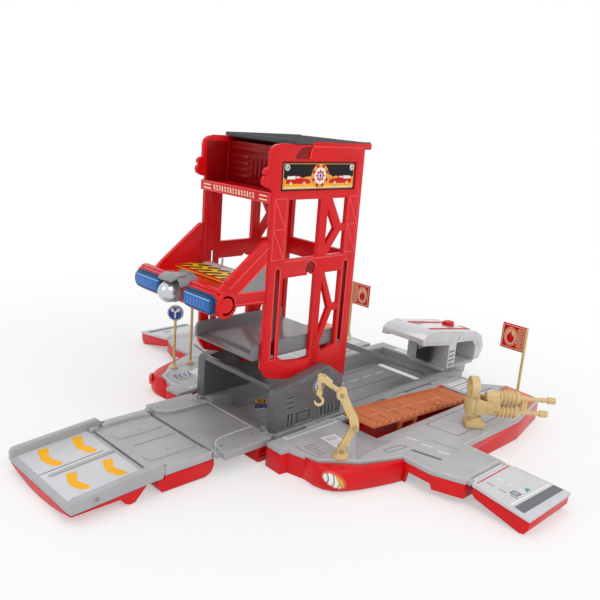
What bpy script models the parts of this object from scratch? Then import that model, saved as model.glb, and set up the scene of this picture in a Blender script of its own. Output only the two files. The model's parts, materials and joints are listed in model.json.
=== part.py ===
"""Folding toy parking garage that packs into a truck: tower, lift, ramps, side panels and accessories.

Lengths are in millimetres in the design frame: x runs from the front ramp to the rear, y from the near
side to the far side, z up from the table. The whole model is moved so that its origin is the middle of
the footprint.
"""
import math

import bmesh
import bpy
from mathutils import Matrix, Vector

MM = 0.001
GAP = 0.3
SIDES = 12
PIN_SIDES = 8

# Levels and plan of the chassis
DECK_Z = 19.5
PLATE_T = 3.0
FLOOR_Z = 3.8
FLOOR_T = 2.0
RAIL_IN = 41.8
RAIL_OUT = 53.6
CHASSIS_REAR = 272.0
BLOCK_X = 258.0
SILL_X = 42.0

# Front chain of three panels and its hinge lines
HINGE_A = 8.0
HINGE_B = -45.0
HINGE_C = -98.6
RAMP_TIP = -161.0
HINGE_Z = 16.5
PIN_R = 1.0
KNUCKLE_R = 2.8
FIELD_EDGE = 1.4
LIP_BACK = 3.3
GRILLE_HALF = 54.0
HOOD_HALF = 47.0
RAMP_WALL = 4.6
HOOD_LIP = 8.9
TIP_Z = 12.0
CHASSIS_FRONT = HINGE_A + FIELD_EDGE
GRILLE_LIP = ((0.0, 39.4), (0.03, 37.2), (0.09, 34.0), (0.17, 31.6), (0.28, 30.2), (0.6, 29.2), (1.0, 29.6))
HOOD_CURVE = ((0.0, 38.2), (0.2, 39.2), (0.6, 39.6), (0.85, 38.4), (1.0, 36.8))
SILL_LIP = (32.0, 35.0)

# Tower
WALL_OUT = RAIL_IN - GAP
WALL_T = 3.5
WALL_IN = WALL_OUT - WALL_T
INNER = WALL_IN - GAP
TOWER_REAR = 98.0
TOWER_TOP = 244.0
PIVOT_X = 56.0
PIVOT_Z = 50.0
PIVOT_R = 3.2
PLATE_OUT = 51.5
ROOM_H = 35.5
SHELF_Z = TOWER_TOP - ROOM_H
LOWER_TOP = 143.6
UPPER_Z0 = 158.0
UPPER_Z1 = SHELF_Z - 5.0
NOSE_Z = 133.0
NOSE_X = -46.0
BEAM_R = 9.5
BEAM_HALF = 52.0
BEZEL_X = -54.5
BALL_X = -59.0
BALL_R = 8.0
TOP_RECESS = (
    (20.0, -10.6), (22.4, -6.0), (26.2, -2.8), (31.0, -1.2), (38.4, -1.2), (36.4, -4.0), (35.4, -7.6),
    (35.6, -10.6),
)
LUG_EDGE = (
    (0.0, -32.0), (-5.0, -31.2), (-8.4, -29.2), (-9.4, -26.2), (-8.6, -23.8), (-6.8, -22.6), (-8.2, -21.2),
    (-8.4, -19.4), (-6.8, -17.4), (-3.2, -16.2), (-3.2, -6.6), (-2.0, -3.0), (0.8, -0.8), (4.2, 0.0),
)
FRAME_X = 91.2
FRAME_T = 4.0

# Lift platform and its guide slots
LIFT_Z = 83.0
LIFT_T = 4.0
LIFT_FRONT = -6.0
LIFT_HALF = 37.0
LIFT_PIN_R = 1.7
SLOT_FRONT_X = 10.5
SLOT_REAR_X = 86.7
SLOT_TOP = 151.0
RIM_H = 9.0

# Ramp behind the tower
RAMP_PIVOT_X = 98.0
RAMP_PIVOT_Z = 75.0
RAMP_LEN = 143.0
RAMP_T = 4.5
RAMP_SLOPE = 22.6
RAMP_Y0 = -37.4
RAMP_Y1 = -3.0

# Launcher behind the rear ramp
LAUNCH_Y = -22.5
LAUNCH_HALF = 25.5
LAUNCH_REAR = 315.0

# Side panels, mirrored about y = 0
SIDE_Y = 56.5
SIDE_Z = 18.0
SIDE_KNUCKLE = 1.8
SIDE_PIN = 0.8
SIDE_BACK = 2.2
PANEL_IN = SIDE_Y + SIDE_BACK
FLAP_Y = 191.0
FLAP_X0 = 73.7
FLAP_X1 = 122.0
FLAP_END = 241.0
FLARE = (2.4, 9.6)
SHELL_WALL = 2.2
WHEEL_R = 19.0
WHEEL_Y = 80.6
WHEEL_X = (35.0, 232.0)
PEG_R = 3.0
RECESS = (72.0, 217.0, 66.0, 105.0)
RECESS_Z = 8.0
RECESS_STEP = (207.0, 13.5)

# Bridge, crane, cannon, flags and signs
BRIDGE_X = 212.0
BRIDGE_LEN = 142.0
BRIDGE_Y0 = 69.3
BRIDGE_Y1 = 101.7
BRIDGE_T = 3.0
BRIDGE_TILT = 4.3
CRANE_AT = (24.7, -109.0)
CANNON_AT = (161.7, -137.2)
DIAGONAL = -45.4

CENTRE_X = (RAMP_TIP + LAUNCH_REAR) / 2

COLLECTION = bpy.data.collections.new("Toy parking garage")
CUTTERS = bpy.data.collections.new("Cutters")


# Materials
def material(name, rgb, roughness, metallic=0.0):
    mat = bpy.data.materials.new(name)
    mat.use_nodes = True
    shader = mat.node_tree.nodes["Principled BSDF"]
    shader.inputs["Base Color"].default_value = (*rgb, 1.0)
    shader.inputs["Roughness"].default_value = roughness
    shader.inputs["Metallic"].default_value = metallic
    return mat


def own_material(node, slot):
    rgb, roughness, metallic = PALETTE[slot]
    node.data.materials.append(material(node.name + "_" + slot, rgb, roughness, metallic))


PALETTE = {
    "red": ((0.62, 0.02, 0.025), 0.28, 0.0),
    "dark_red": ((0.34, 0.015, 0.02), 0.4, 0.0),
    "light_gray": ((0.42, 0.43, 0.46), 0.42, 0.0),
    "dark_gray": ((0.125, 0.127, 0.133), 0.35, 0.0),
    "roof_gray": ((0.09, 0.095, 0.105), 0.45, 0.0),
    "steel": ((0.6, 0.6, 0.62), 0.3, 1.0),
    "silver": ((0.7, 0.71, 0.74), 0.3, 0.6),
    "pearl": ((0.62, 0.63, 0.66), 0.32, 0.2),
    "blue_lens": ((0.01, 0.12, 0.55), 0.12, 0.0),
    "yellow": ((0.8, 0.52, 0.02), 0.4, 0.0),
    "orange": ((0.5, 0.16, 0.04), 0.5, 0.0),
    "cream": ((0.72, 0.6, 0.34), 0.45, 0.0),
    "tyre": ((0.03, 0.03, 0.032), 0.7, 0.0),
}


# Solids as bmesh shapes in millimetres
def outward(bm):
    bmesh.ops.recalc_face_normals(bm, faces=bm.faces[:])
    return bm


def box(x0, x1, y0, y1, z0, z1):
    bm = bmesh.new()
    bmesh.ops.create_cube(bm, size=1.0)
    for v in bm.verts:
        v.co = Vector((
            x0 + (x1 - x0) * (v.co.x + 0.5),
            y0 + (y1 - y0) * (v.co.y + 0.5),
            z0 + (z1 - z0) * (v.co.z + 0.5),
        ))
    return outward(bm)


def place(axis, u, v, w):
    if axis == "X":
        return Vector((w, u, v))
    if axis == "Y":
        return Vector((u, w, v))
    return Vector((u, v, w))


def prism(axis, outline, a, b):
    """Flat outline (y,z), (x,z) or (x,y) drawn out along X, Y or Z from a to b."""
    bm = bmesh.new()
    face = bm.faces.new([bm.verts.new(place(axis, u, v, a)) for u, v in outline])
    grown = bmesh.ops.extrude_face_region(bm, geom=[face])
    shift = place(axis, 0.0, 0.0, b - a)
    moved = [g for g in grown["geom"] if isinstance(g, bmesh.types.BMVert)]
    bmesh.ops.translate(bm, verts=moved, vec=shift)
    return outward(bm)


def bar(p, q, r, r2=None, sides=SIDES):
    """Round bar from point p to point q, tapering to r2."""
    p, q = Vector(p), Vector(q)
    bm = bmesh.new()
    bmesh.ops.create_cone(
        bm, cap_ends=True, segments=sides, radius1=r, radius2=r if r2 is None else r2,
        depth=(q - p).length,
    )
    for face in bm.faces:
        face.smooth = len(face.verts) == 4
    turn = Vector((0, 0, 1)).rotation_difference((q - p).normalized()).to_matrix().to_4x4()
    bmesh.ops.transform(bm, matrix=Matrix.Translation((p + q) / 2) @ turn, verts=bm.verts[:])
    return outward(bm)


def rod(axis, u, v, a, b, r, sides=SIDES):
    return bar(place(axis, u, v, a), place(axis, u, v, b), r, sides=sides)


def ball(centre, r):
    bm = bmesh.new()
    bmesh.ops.create_uvsphere(bm, u_segments=16, v_segments=8, radius=r)
    bmesh.ops.translate(bm, verts=bm.verts[:], vec=Vector(centre))
    for face in bm.faces:
        face.smooth = True
    return outward(bm)


def turned(profile, sides=SIDES):
    """Solid of revolution about X from (x, radius) points, closed by a flat disc at each end."""
    bm = bmesh.new()
    rings = []
    for x, r in profile:
        turn = [2 * math.pi * k / sides for k in range(sides)]
        rings.append([bm.verts.new((x, r * math.cos(t), r * math.sin(t))) for t in turn])
    for a, b in zip(rings, rings[1:]):
        for k in range(sides):
            face = bm.faces.new((a[k], a[(k + 1) % sides], b[(k + 1) % sides], b[k]))
            face.smooth = True
    bm.faces.new(rings[0])
    bm.faces.new(rings[-1])
    return outward(bm)


def tube(points, radii, sides=PIN_SIDES):
    """Round tube along a bent path in the XZ plane."""
    bm = bmesh.new()
    rings = []
    path = [Vector((x, 0.0, z)) for x, z in points]
    for k, mid in enumerate(path):
        run = (path[min(k + 1, len(path) - 1)] - path[max(k - 1, 0)]).normalized()
        side = Vector((-run.z, 0.0, run.x))
        ring = []
        for j in range(sides):
            t = 2 * math.pi * j / sides
            arm = side * math.cos(t) + Vector((0, 1, 0)) * math.sin(t)
            ring.append(bm.verts.new(mid + arm * radii[k]))
        rings.append(ring)
    for a, b in zip(rings, rings[1:]):
        for k in range(sides):
            face = bm.faces.new((a[k], a[(k + 1) % sides], b[(k + 1) % sides], b[k]))
            face.smooth = True
    bm.faces.new(rings[0])
    bm.faces.new(rings[-1])
    return outward(bm)


def rounded(bm, width, segments=2, axis=None):
    """Bevel of the edges that run along one axis, or of every edge."""
    edges = []
    for edge in bm.edges:
        run = (edge.verts[1].co - edge.verts[0].co).normalized()
        if axis is None or abs(run[axis]) > 0.99:
            edges.append(edge)
    bmesh.ops.bevel(
        bm, geom=edges, offset=width, segments=segments, affect="EDGES", profile=0.5,
        clamp_overlap=True,
    )
    return outward(bm)


# Nodes
def to_object(name, bm, at, group):
    bmesh.ops.translate(bm, verts=bm.verts[:], vec=-Vector(at))
    bmesh.ops.scale(bm, vec=(MM, MM, MM), verts=bm.verts[:])
    mesh = bpy.data.meshes.new(name)
    bm.to_mesh(mesh)
    bm.free()
    item = bpy.data.objects.new(name, mesh)
    group.objects.link(item)
    return item


def empty(name, at, parent=None, turn=(0.0, 0.0, 0.0)):
    item = bpy.data.objects.new(name, None)
    COLLECTION.objects.link(item)
    item.empty_display_size = 0.01
    item.parent = parent
    item.location = Vector(at) * MM
    item.rotation_euler = [math.radians(t) for t in turn]
    return item


def node(name, slot, solids, cuts=(), at=(0.0, 0.0, 0.0), parent=None, offset=None):
    """One piece: solids joined, cuts taken away, its own origin at the point `at`."""
    main = to_object(name, solids[0], at, COLLECTION)
    own_material(main, slot)
    steps = [("UNION", bm) for bm in solids[1:]] + [("DIFFERENCE", bm) for bm in cuts]
    for number, (operation, bm) in enumerate(steps):
        tool = to_object(name + "_tool_%02d" % number, bm, at, CUTTERS)
        tool.parent = main
        tool.hide_render = True
        tool.display_type = "WIRE"
        step = main.modifiers.new(operation.title(), "BOOLEAN")
        step.operation = operation
        step.solver = "EXACT"
        step.object = tool
    main.parent = parent
    main.location = Vector(at if offset is None else offset) * MM
    return main


def hang(child, parent, parent_at):
    """Parents a node to a frame whose origin is parent_at in the design frame."""
    child.parent = parent
    child.location = child.location - Vector(parent_at) * MM


# Chassis
A_FIXED = ((42.1, 44.6), (48.2, 50.9))
A_MOVING = ((44.9, 47.9),)
B_FIXED = ((42.1, 43.4), (45.9, 48.4))
B_MOVING = ((43.7, 45.6),)
C_HOOD = ((37.0, 41.5),)
SIDE_FIXED = ((40.0, 54.0), (142.0, 156.0), (226.0, 240.0))
SIDE_MOVING = ((54.3, 68.0), (156.3, 170.0), (212.0, 225.7))
SIDE_ROD = (SIDE_FIXED[0][0] - 0.6, SIDE_FIXED[-1][1] + 0.6)


def chassis_tray(root):
    cuts = [
        box(SILL_X, BLOCK_X, -RAIL_IN, RAIL_IN, FLOOR_Z, DECK_Z + 1),
        prism("Y", [
            (CHASSIS_FRONT - 1, HINGE_Z), (CHASSIS_FRONT + 1, HINGE_Z), (SILL_X, FLOOR_Z),
            (SILL_X + 1, FLOOR_Z), (SILL_X + 1, DECK_Z + 1), (CHASSIS_FRONT - 1, DECK_Z + 1),
        ], -RAIL_IN, RAIL_IN),
        box(SILL_X + 3, 238.0, -39.0, 39.0, -1.0, FLOOR_Z - FLOOR_T),
        box(242.0, BLOCK_X, -RAIL_IN, RAIL_IN, -1.0, FLOOR_Z + 1),
        box(BLOCK_X + 2.5, CHASSIS_REAR - 2.5, -50.0, 50.0, -1.0, DECK_Z - 2.5),
        prism("Y", [
            (CHASSIS_FRONT + 2.5, -1.0), (SILL_X - 2, -1.0), (SILL_X - 2, 1.8),
            (CHASSIS_FRONT + 2.5, HINGE_Z - 3.5),
        ], -39.0, 39.0),
    ]
    for s in (-1, 1):
        y = sorted((s * (RAIL_IN + 2.4), s * (RAIL_OUT - 2.4)))
        cuts.append(box(14.0, 126.0, *y, -1.0, DECK_Z - 2.5))
        cuts.append(box(129.0, 240.0, *y, -1.0, DECK_Z - 2.5))
        y = sorted((s * RAIL_IN, s * (RAIL_OUT + 1)))
        cuts.append(box(CHASSIS_FRONT - 1, HINGE_A + LIP_BACK, *y, HINGE_Z - LIP_BACK, DECK_Z + 1))
    tray = [box(CHASSIS_FRONT, CHASSIS_REAR, -RAIL_OUT, RAIL_OUT, 0.0, DECK_Z)]
    late = []
    bores = []
    for s in (-1, 1):
        for a, b in A_FIXED:
            y = sorted((s * a, s * b))
            late.append(rod("Y", HINGE_A, HINGE_Z, *y, KNUCKLE_R))
            late.append(box(
                HINGE_A, HINGE_A + LIP_BACK + 0.5, *y, HINGE_Z - KNUCKLE_R + 0.1,
                HINGE_Z + KNUCKLE_R - 0.1,
            ))
        for a, b in SIDE_FIXED:
            y = sorted((s * (RAIL_OUT - 0.5), s * SIDE_Y))
            late.append(rod("X", s * SIDE_Y, SIDE_Z, a, b, SIDE_KNUCKLE, 10))
            late.append(box(a, b, *y, SIDE_Z - 1.6, SIDE_Z + 1.4))
        run = (SIDE_ROD[0] - 0.4, SIDE_ROD[1] + 0.4)
        bores.append(rod("X", s * SIDE_Y, SIDE_Z, *run, SIDE_PIN + GAP, PIN_SIDES))
        y = sorted((s * SILL_LIP[0], s * (RAIL_IN + 0.6)))
        late.append(rounded(prism("Y", [
            (HINGE_A + LIP_BACK + 0.3, DECK_Z - 0.2), (SILL_LIP[1], DECK_Z - 0.2), (SILL_LIP[1], 5.4),
            (HINGE_A + LIP_BACK + 0.3, 14.8),
        ], *y), 1.2, 2, 2))
    bores.append(rod("Y", HINGE_A, HINGE_Z, -52.0, 52.0, PIN_R + GAP, PIN_SIDES))
    main = node("chassis_tray", "light_gray", tray, cuts, parent=root)
    add_steps(main, "late", "UNION", late)
    add_steps(main, "bore", "DIFFERENCE", bores)
    return main


def add_steps(main, label, operation, shapes):
    """Further joins or cuts made after those already on the node."""
    for number, bm in enumerate(shapes):
        at = main.get("at", (0.0, 0.0, 0.0))
        tool = to_object("%s_%s_%02d" % (main.name, label, number), bm, at, CUTTERS)
        tool.parent = main
        tool.hide_render = True
        tool.display_type = "WIRE"
        step = main.modifiers.new(label, "BOOLEAN")
        step.operation = operation
        step.solver = "EXACT"
        step.object = tool


def front_bumper(root):
    solids = [rounded(box(-8.0, CHASSIS_FRONT - GAP, -52.0, 52.0, 0.0, 12.0), 2.0, 2, 1)]
    for y in (-34.0, 26.0):
        solids.append(rounded(box(-10.5, -6.0, y, y + 8.0, 1.5, 10.5), 1.0, 1, 1))
    return node("front_bumper", "red", solids, [box(-9.0, -7.2, -14.0, 14.0, 2.5, 8.5)], parent=root)


def side_plate(root, name, s):
    y = sorted((s * RAIL_IN, s * PLATE_OUT))
    inside = sorted((s * (RAIL_IN + 2.2), s * (PLATE_OUT - 2.2)))
    face = sorted((s * (PLATE_OUT - 1.4), s * (PLATE_OUT + 1.0)))
    base = DECK_Z + GAP
    outline = [
        (9.5, base), (9.5, 52.0), (11.0, 55.0), (14.0, 56.6), (64.0, 66.0), (68.0, 65.4),
        (85.4, 53.5), (85.4, base),
    ]
    cuts = [
        box(12.0, 83.0, *inside, base - 1, 42.0),
        rod("Y", PIVOT_X, PIVOT_Z, -PLATE_OUT - 2, PLATE_OUT + 2, PIVOT_R + GAP),
    ]
    for k in range(3):
        cuts.append(box(21.0, 28.4, *face, 37.2 + 4.3 * k, 39.4 + 4.3 * k))
    for x in (22.4, 26.4):
        cuts.append(box(x, x + 2.2, *face, 21.4, 33.2))
    cuts.append(box(31.4, 48.8, *face, 22.2, 32.2))
    for k in range(4):
        cuts.append(box(60.6 + 4.4 * k, 62.8 + 4.4 * k, *face, 21.4, 30.0))
    return node(name, "dark_gray", [prism("Y", outline, *y)], cuts, parent=root)


def pivot_pin(root, name, s):
    a, b = s * (PLATE_OUT + GAP), s * (PLATE_OUT + 2.5)
    head = bar((PIVOT_X, a, PIVOT_Z), (PIVOT_X, b, PIVOT_Z), 5.5, 4.8)
    shaft = bar((PIVOT_X, s * (WALL_IN + 0.2), PIVOT_Z), (PIVOT_X, s * (PLATE_OUT + 1.0), PIVOT_Z), PIVOT_R)
    cross = sorted((s * (PLATE_OUT + 1.7), s * (PLATE_OUT + 4.0)))
    slot = box(PIVOT_X - 3.2, PIVOT_X + 3.2, *cross, PIVOT_Z - 0.6, PIVOT_Z + 0.6)
    return node(name, "silver", [head, shaft], [slot], parent=root)


# Tower
def tower_wall(frame, name, s):
    y = sorted((s * WALL_IN, s * WALL_OUT))
    through = sorted((s * (WALL_IN - 1), s * (WALL_OUT + 1)))
    skin = sorted((s * (WALL_OUT - 0.9), s * (WALL_OUT + 1)))
    outline = [
        (22.0, 60.0), (6.0, 64.5), (0.0, 73.0), *[(x, TOWER_TOP + z) for x, z in LUG_EDGE],
        (TOWER_REAR, TOWER_TOP), (TOWER_REAR, 47.5), (66.0, 47.5), (61.0, 43.6), (51.0, 43.6), (45.0, 58.0),
    ]
    z0, z1 = UPPER_Z0, UPPER_Z1
    knot = (z0 + z1) / 2
    cuts = [
        prism("Y", [
            (16.5, 80.0), (24.0, 75.0), (42.0, 73.0), (51.6, 73.6), (51.6, LOWER_TOP),
            (48.0, LOWER_TOP), (45.0, LOWER_TOP + 2.9), (42.0, LOWER_TOP), (16.5, LOWER_TOP),
        ], *through),
        prism("Y", [(60.0, 90.0), (69.5, 113.0), (60.0, LOWER_TOP - 7)], *through),
        prism("Y", [(62.6, LOWER_TOP), (74.6, 116.0), (81.0, 116.0), (81.0, LOWER_TOP)], *through),
        prism("Y", [(62.6, 82.5), (66.0, 75.8), (81.0, 80.0), (81.0, 110.0), (74.6, 110.0)], *through),
        box(17.6, 51.6, *through, z0, z1),
        prism("Y", [(60.0, z0 + 8), (69.5, knot - 1.5), (60.0, z1 - 8)], *through),
        prism("Y", [(64.6, z1), (76.6, knot + 2), (82.0, knot + 2), (82.0, z1)], *through),
        prism("Y", [(62.6, z0), (82.0, z0), (82.0, knot - 4), (76.6, knot - 4)], *through),
        rod("Y", PIVOT_X, PIVOT_Z, *through, PIVOT_R + GAP),
        box(8.0, 89.2, *skin, SHELF_Z + 1, TOWER_TOP - 12),
        prism("Y", [(x, TOWER_TOP + z) for x, z in TOP_RECESS], *skin),
        rod("Y", 45.5, LOWER_TOP + 5.6, *skin, 5.4, 16),
    ]
    for x in (SLOT_FRONT_X, SLOT_REAR_X):
        half = LIFT_PIN_R + GAP
        cuts.append(box(x - half, x + half, *through, LIFT_Z - LIFT_T / 2 - half, SLOT_TOP))
    wall = node(name, "red", [prism("Y", outline, *y)], cuts)
    hang(wall, frame, (PIVOT_X, 0.0, PIVOT_Z))
    return wall


def tower(frame):
    base = (PIVOT_X, 0.0, PIVOT_Z)

    def piece(name, slot, solids, cuts=()):
        item = node(name, slot, solids, cuts)
        hang(item, frame, base)
        return item

    tower_wall(frame, "tower_wall_near", -1)
    tower_wall(frame, "tower_wall_far", 1)
    ears = []
    for y0, y1 in ((RAMP_Y0 - 0.2, RAMP_Y0 + 2.0), (RAMP_Y1 - 2.0, RAMP_Y1 + 0.4)):
        ears.append(prism("Y", [
            (FRAME_X + 1, RAMP_PIVOT_Z - 4.5), (RAMP_PIVOT_X, RAMP_PIVOT_Z - 2.5),
            (RAMP_PIVOT_X + 1.8, RAMP_PIVOT_Z - 1.8), (RAMP_PIVOT_X + 2.5, RAMP_PIVOT_Z),
            (RAMP_PIVOT_X + 1.8, RAMP_PIVOT_Z + 1.8), (RAMP_PIVOT_X, RAMP_PIVOT_Z + 2.3),
            (FRAME_X + 1, RAMP_PIVOT_Z + 1.3),
        ], y0, y1))
    piece("rear_frame", "red", [
        box(FRAME_X, FRAME_X + FRAME_T, -INNER, INNER, 62.0, TOWER_TOP - 4),
        *ears,
    ], [
        box(FRAME_X - 1, FRAME_X + FRAME_T + 0.5, -34.0, 34.0, RAMP_PIVOT_Z + 2.7, LOWER_TOP - 0.6),
        box(FRAME_X - 1, FRAME_X + FRAME_T + 1, -31.0, 31.0, UPPER_Z0, UPPER_Z1 - 0.5),
        rod("Y", RAMP_PIVOT_X, RAMP_PIVOT_Z, RAMP_Y0 - 1, RAMP_Y1 + 1, PIN_R + GAP, PIN_SIDES),
    ])
    piece("shelf", "red", [
        box(-2.4, -GAP, -WALL_OUT, WALL_OUT, SHELF_Z - 7.1, SHELF_Z + 1.0),
        box(-1.0, FRAME_X - GAP, -INNER, INNER, SHELF_Z - 3, SHELF_Z),
    ])
    bars = []
    for s in (-1, 1):
        for k in range(4):
            y = sorted((s * 12.0, s * 33.0))
            bars.append(box(20.4, 23.0, *y, SHELF_Z + 4.5 + 5 * k, SHELF_Z + 7.1 + 5 * k))
    for k in range(4):
        bars.append(box(20.4, 23.0, -8.6 + 5 * k, -6.4 + 5 * k, SHELF_Z + 4.5, SHELF_Z + 21.5))
    bars.append(box(20.4, 23.0, -33.0, 33.0, TOWER_TOP - 10, TOWER_TOP - 7.4))
    piece("top_back_panel", "dark_red", [
        box(22.0, 26.0, -INNER, INNER, SHELF_Z + GAP, TOWER_TOP - 3),
        *bars,
    ])
    roof = [
        rounded(box(20.0, 105.2, -WALL_OUT, WALL_OUT, TOWER_TOP + GAP, TOWER_TOP + 3), 1.2, 1, 2),
        box(TOWER_REAR + GAP, 105.2, -WALL_OUT, WALL_OUT, TOWER_TOP - 2.5, TOWER_TOP + 1),
    ]
    for k in range(5):
        roof.append(box(28.0 + 15 * k, 31.0 + 15 * k, -36.0, 36.0, TOWER_TOP - 1.2, TOWER_TOP + 1))
    piece("roof_plate", "roof_gray", roof)
    cheek = [
        (-GAP, 174.0), (-2.5, 173.6), (-38.0, 146.0), (-44.0, 140.0), (-44.0, 127.5), (-GAP, 126.0),
    ]
    nose = [rod("Y", NOSE_X, NOSE_Z, -BEAM_HALF, BEAM_HALF, BEAM_R, 24)]
    for s in (-1, 1):
        nose.append(prism("Y", cheek, *sorted((s * WALL_IN, s * WALL_OUT))))
    nose.append(box(NOSE_X, LIFT_FRONT - 0.4, -WALL_IN - 0.5, WALL_IN + 0.5, 136.0, 140.7))
    piece("nose", "red", nose, [box(-60.0, -49.3, -60.0, 60.0, 118.0, 148.0)])
    pockets = [ball((BALL_X, 0.0, NOSE_Z), BALL_R + GAP)]
    for s in (-1, 1):
        y = sorted((s * 14.5, s * 49.0))
        pockets.append(box(BEZEL_X - 1, -51.8, *y, 127.0, 139.0))
    piece("light_bar_bezel", "dark_gray", [
        rounded(box(BEZEL_X, -49.6, -BEAM_HALF, BEAM_HALF, 124.5, 141.5), 3.0, 2, 0),
    ], pockets)
    for name, s in (("lens_near", -1), ("lens_far", 1)):
        y = sorted((s * 14.8, s * 48.7))
        piece(name, "blue_lens", [rounded(box(-57.0, -52.1, *y, 127.3, 138.7), 1.6, 2, 1)])
    piece("turret_ball", "silver", [ball((BALL_X, 0.0, NOSE_Z), BALL_R)])
    piece("ball_saddle", "dark_gray", [
        prism("Y", [(-62.0, 143.0), (-60.0, 146.6), (-44.0, 146.6), (-40.0, 142.8)], -9.5, 9.5),
    ])
    piece("hazard_plate", "yellow", [
        box(-28.0, LIFT_FRONT - 0.4, -INNER, INNER, 141.0, 143.0),
        box(-8.0, 4.0, -33.4, 33.4, 141.0, 143.0),
    ])


def lift_platform(frame):
    base = (PIVOT_X, 0.0, PIVOT_Z)
    bottom = LIFT_Z - LIFT_T
    rear = FRAME_X - 0.6
    solids = [box(LIFT_FRONT, rear, -LIFT_HALF, LIFT_HALF, bottom, LIFT_Z)]
    for s in (-1, 1):
        solids.append(prism("Y", [
            (LIFT_FRONT, bottom), (LIFT_FRONT, LIFT_Z + 5), (LIFT_FRONT + 1.5, LIFT_Z + 8),
            (LIFT_FRONT + 5, LIFT_Z + RIM_H), (rear, LIFT_Z + RIM_H), (rear, bottom),
        ], *sorted((s * (LIFT_HALF - 3), s * LIFT_HALF))))
    for x in (SLOT_FRONT_X, SLOT_REAR_X):
        for s in (-1, 1):
            y = sorted((s * (LIFT_HALF - 1), s * (WALL_OUT - 0.2)))
            solids.append(rod("Y", x, bottom + LIFT_T / 2, *y, LIFT_PIN_R, PIN_SIDES))
    step = box(LIFT_FRONT - 1, 4.3, 3.0 - LIFT_HALF, LIFT_HALF - 3.0, LIFT_Z - 2.6, LIFT_Z + 1)
    lift = node("lift_platform", "dark_gray", solids, [step], at=(40.0, 0.0, LIFT_Z))
    hang(lift, frame, base)
    return lift


def rear_ramp(frame):
    hinge = empty("rear_ramp_pivot", (RAMP_PIVOT_X - PIVOT_X, 0.0, RAMP_PIVOT_Z - PIVOT_Z), frame,
                  (0.0, RAMP_SLOPE, 0.0))
    half = RAMP_T / 2
    solids = [
        prism("Y", [
            (3.0, -half), (RAMP_LEN - 3, -half), (RAMP_LEN, -1.0), (RAMP_LEN, 0.2),
            (RAMP_LEN - 8, 0.9), (3.0, 0.9),
        ], RAMP_Y0, RAMP_Y1),
        rod("Y", 0.0, 0.0, RAMP_Y0 + 2.3, RAMP_Y1 - 2.3, 2.25),
        box(0.0, 4.0, RAMP_Y0 + 2.3, RAMP_Y1 - 2.3, -half, 0.9),
        rod("Y", 0.0, 0.0, RAMP_Y0 + 0.1, RAMP_Y1 - 0.1, PIN_R, PIN_SIDES),
    ]
    for y in (RAMP_Y0, RAMP_Y1 - 2.4):
        solids.append(box(3.4, RAMP_LEN - 9, y, y + 2.4, 0.0, half))
    for k in range(8):
        x = 22.0 + 14.0 * k
        solids.append(box(x, x + 1.6, RAMP_Y0 + 1, RAMP_Y1 - 1, 0.0, 1.4))
    return node("rear_ramp", "dark_gray", solids, parent=hinge)


# Launcher
def launcher(root):
    base = (260.0, LAUNCH_Y, DECK_Z)
    y0, y1 = LAUNCH_Y - LAUNCH_HALF, LAUNCH_Y + LAUNCH_HALF
    frame = empty("launcher_slide", base, root)

    def piece(name, slot, solids, cuts=()):
        item = node(name, slot, solids, cuts)
        hang(item, frame, base)
        return item

    z = DECK_Z + GAP
    piece("launcher_base", "light_gray", [
        rounded(box(248.0, 306.0, y0 + 3, y1 - 3, z, z + 4), 3.0, 2, 2),
        box(276.0, 300.0, y0 + 9, y1 - 9, 8.0, z + 1),
    ], [box(278.0, 298.0, y0 + 11, y1 - 11, 7.0, z + 1)])
    arch = [
        (203.0, 57.0), (204.0, 63.0), (210.0, 67.0), (224.0, 68.5), (264.0, 62.0), (298.0, 56.5),
        (310.0, 50.0), (LAUNCH_REAR, 41.0), (LAUNCH_REAR, 33.0), (309.0, z + 4.3),
        (300.0, z + 4.3), (300.0, 40.0), (293.0, 47.0), (263.0, 50.0), (263.0, z + 4.3),
        (250.0, z + 4.3), (250.0, 49.5), (228.0, 53.0), (208.0, 56.0),
    ]
    cuts = [
        rod("X", LAUNCH_Y, 36.0, 248.0, 265.0, 2.6, 12),
        box(276.0, 288.0, LAUNCH_Y - 5, LAUNCH_Y + 5, 54.0, 70.0),
        box(279.0, 285.0, LAUNCH_Y - 1.8, LAUNCH_Y + 1.8, 46.0, 56.0),
        box(200.0, 249.0, y0 + 6, y1 - 6, 50.0, 58.5),
    ]
    for s in (-1, 1):
        rail = sorted((LAUNCH_Y + s * 14.0, LAUNCH_Y + s * 16.0))
        cuts.append(prism("Y", [(228.0, 66.5), (262.0, 61.0), (262.0, 66.0), (228.0, 71.0)], *rail))
    piece("launcher_body", "pearl", [prism("Y", arch, y0, y1)], cuts)
    piece("launcher_plunger", "dark_gray", [
        rounded(box(243.0, 247.5, LAUNCH_Y - 9, LAUNCH_Y + 9, 27.0, 44.0), 1.2, 1, 0),
        rod("X", LAUNCH_Y, 36.0, 246.0, 282.0, 2.2, 12),
        rod("X", LAUNCH_Y, 36.0, 280.0, 284.0, 6.0),
    ])
    piece("launcher_trigger", "red", [
        rounded(box(276.4, 287.6, LAUNCH_Y - 4.6, LAUNCH_Y + 4.6, 58.0, 63.5), 1.0, 1),
        box(279.4, 284.6, LAUNCH_Y - 1.4, LAUNCH_Y + 1.4, 49.0, 59.0),
    ])


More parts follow.
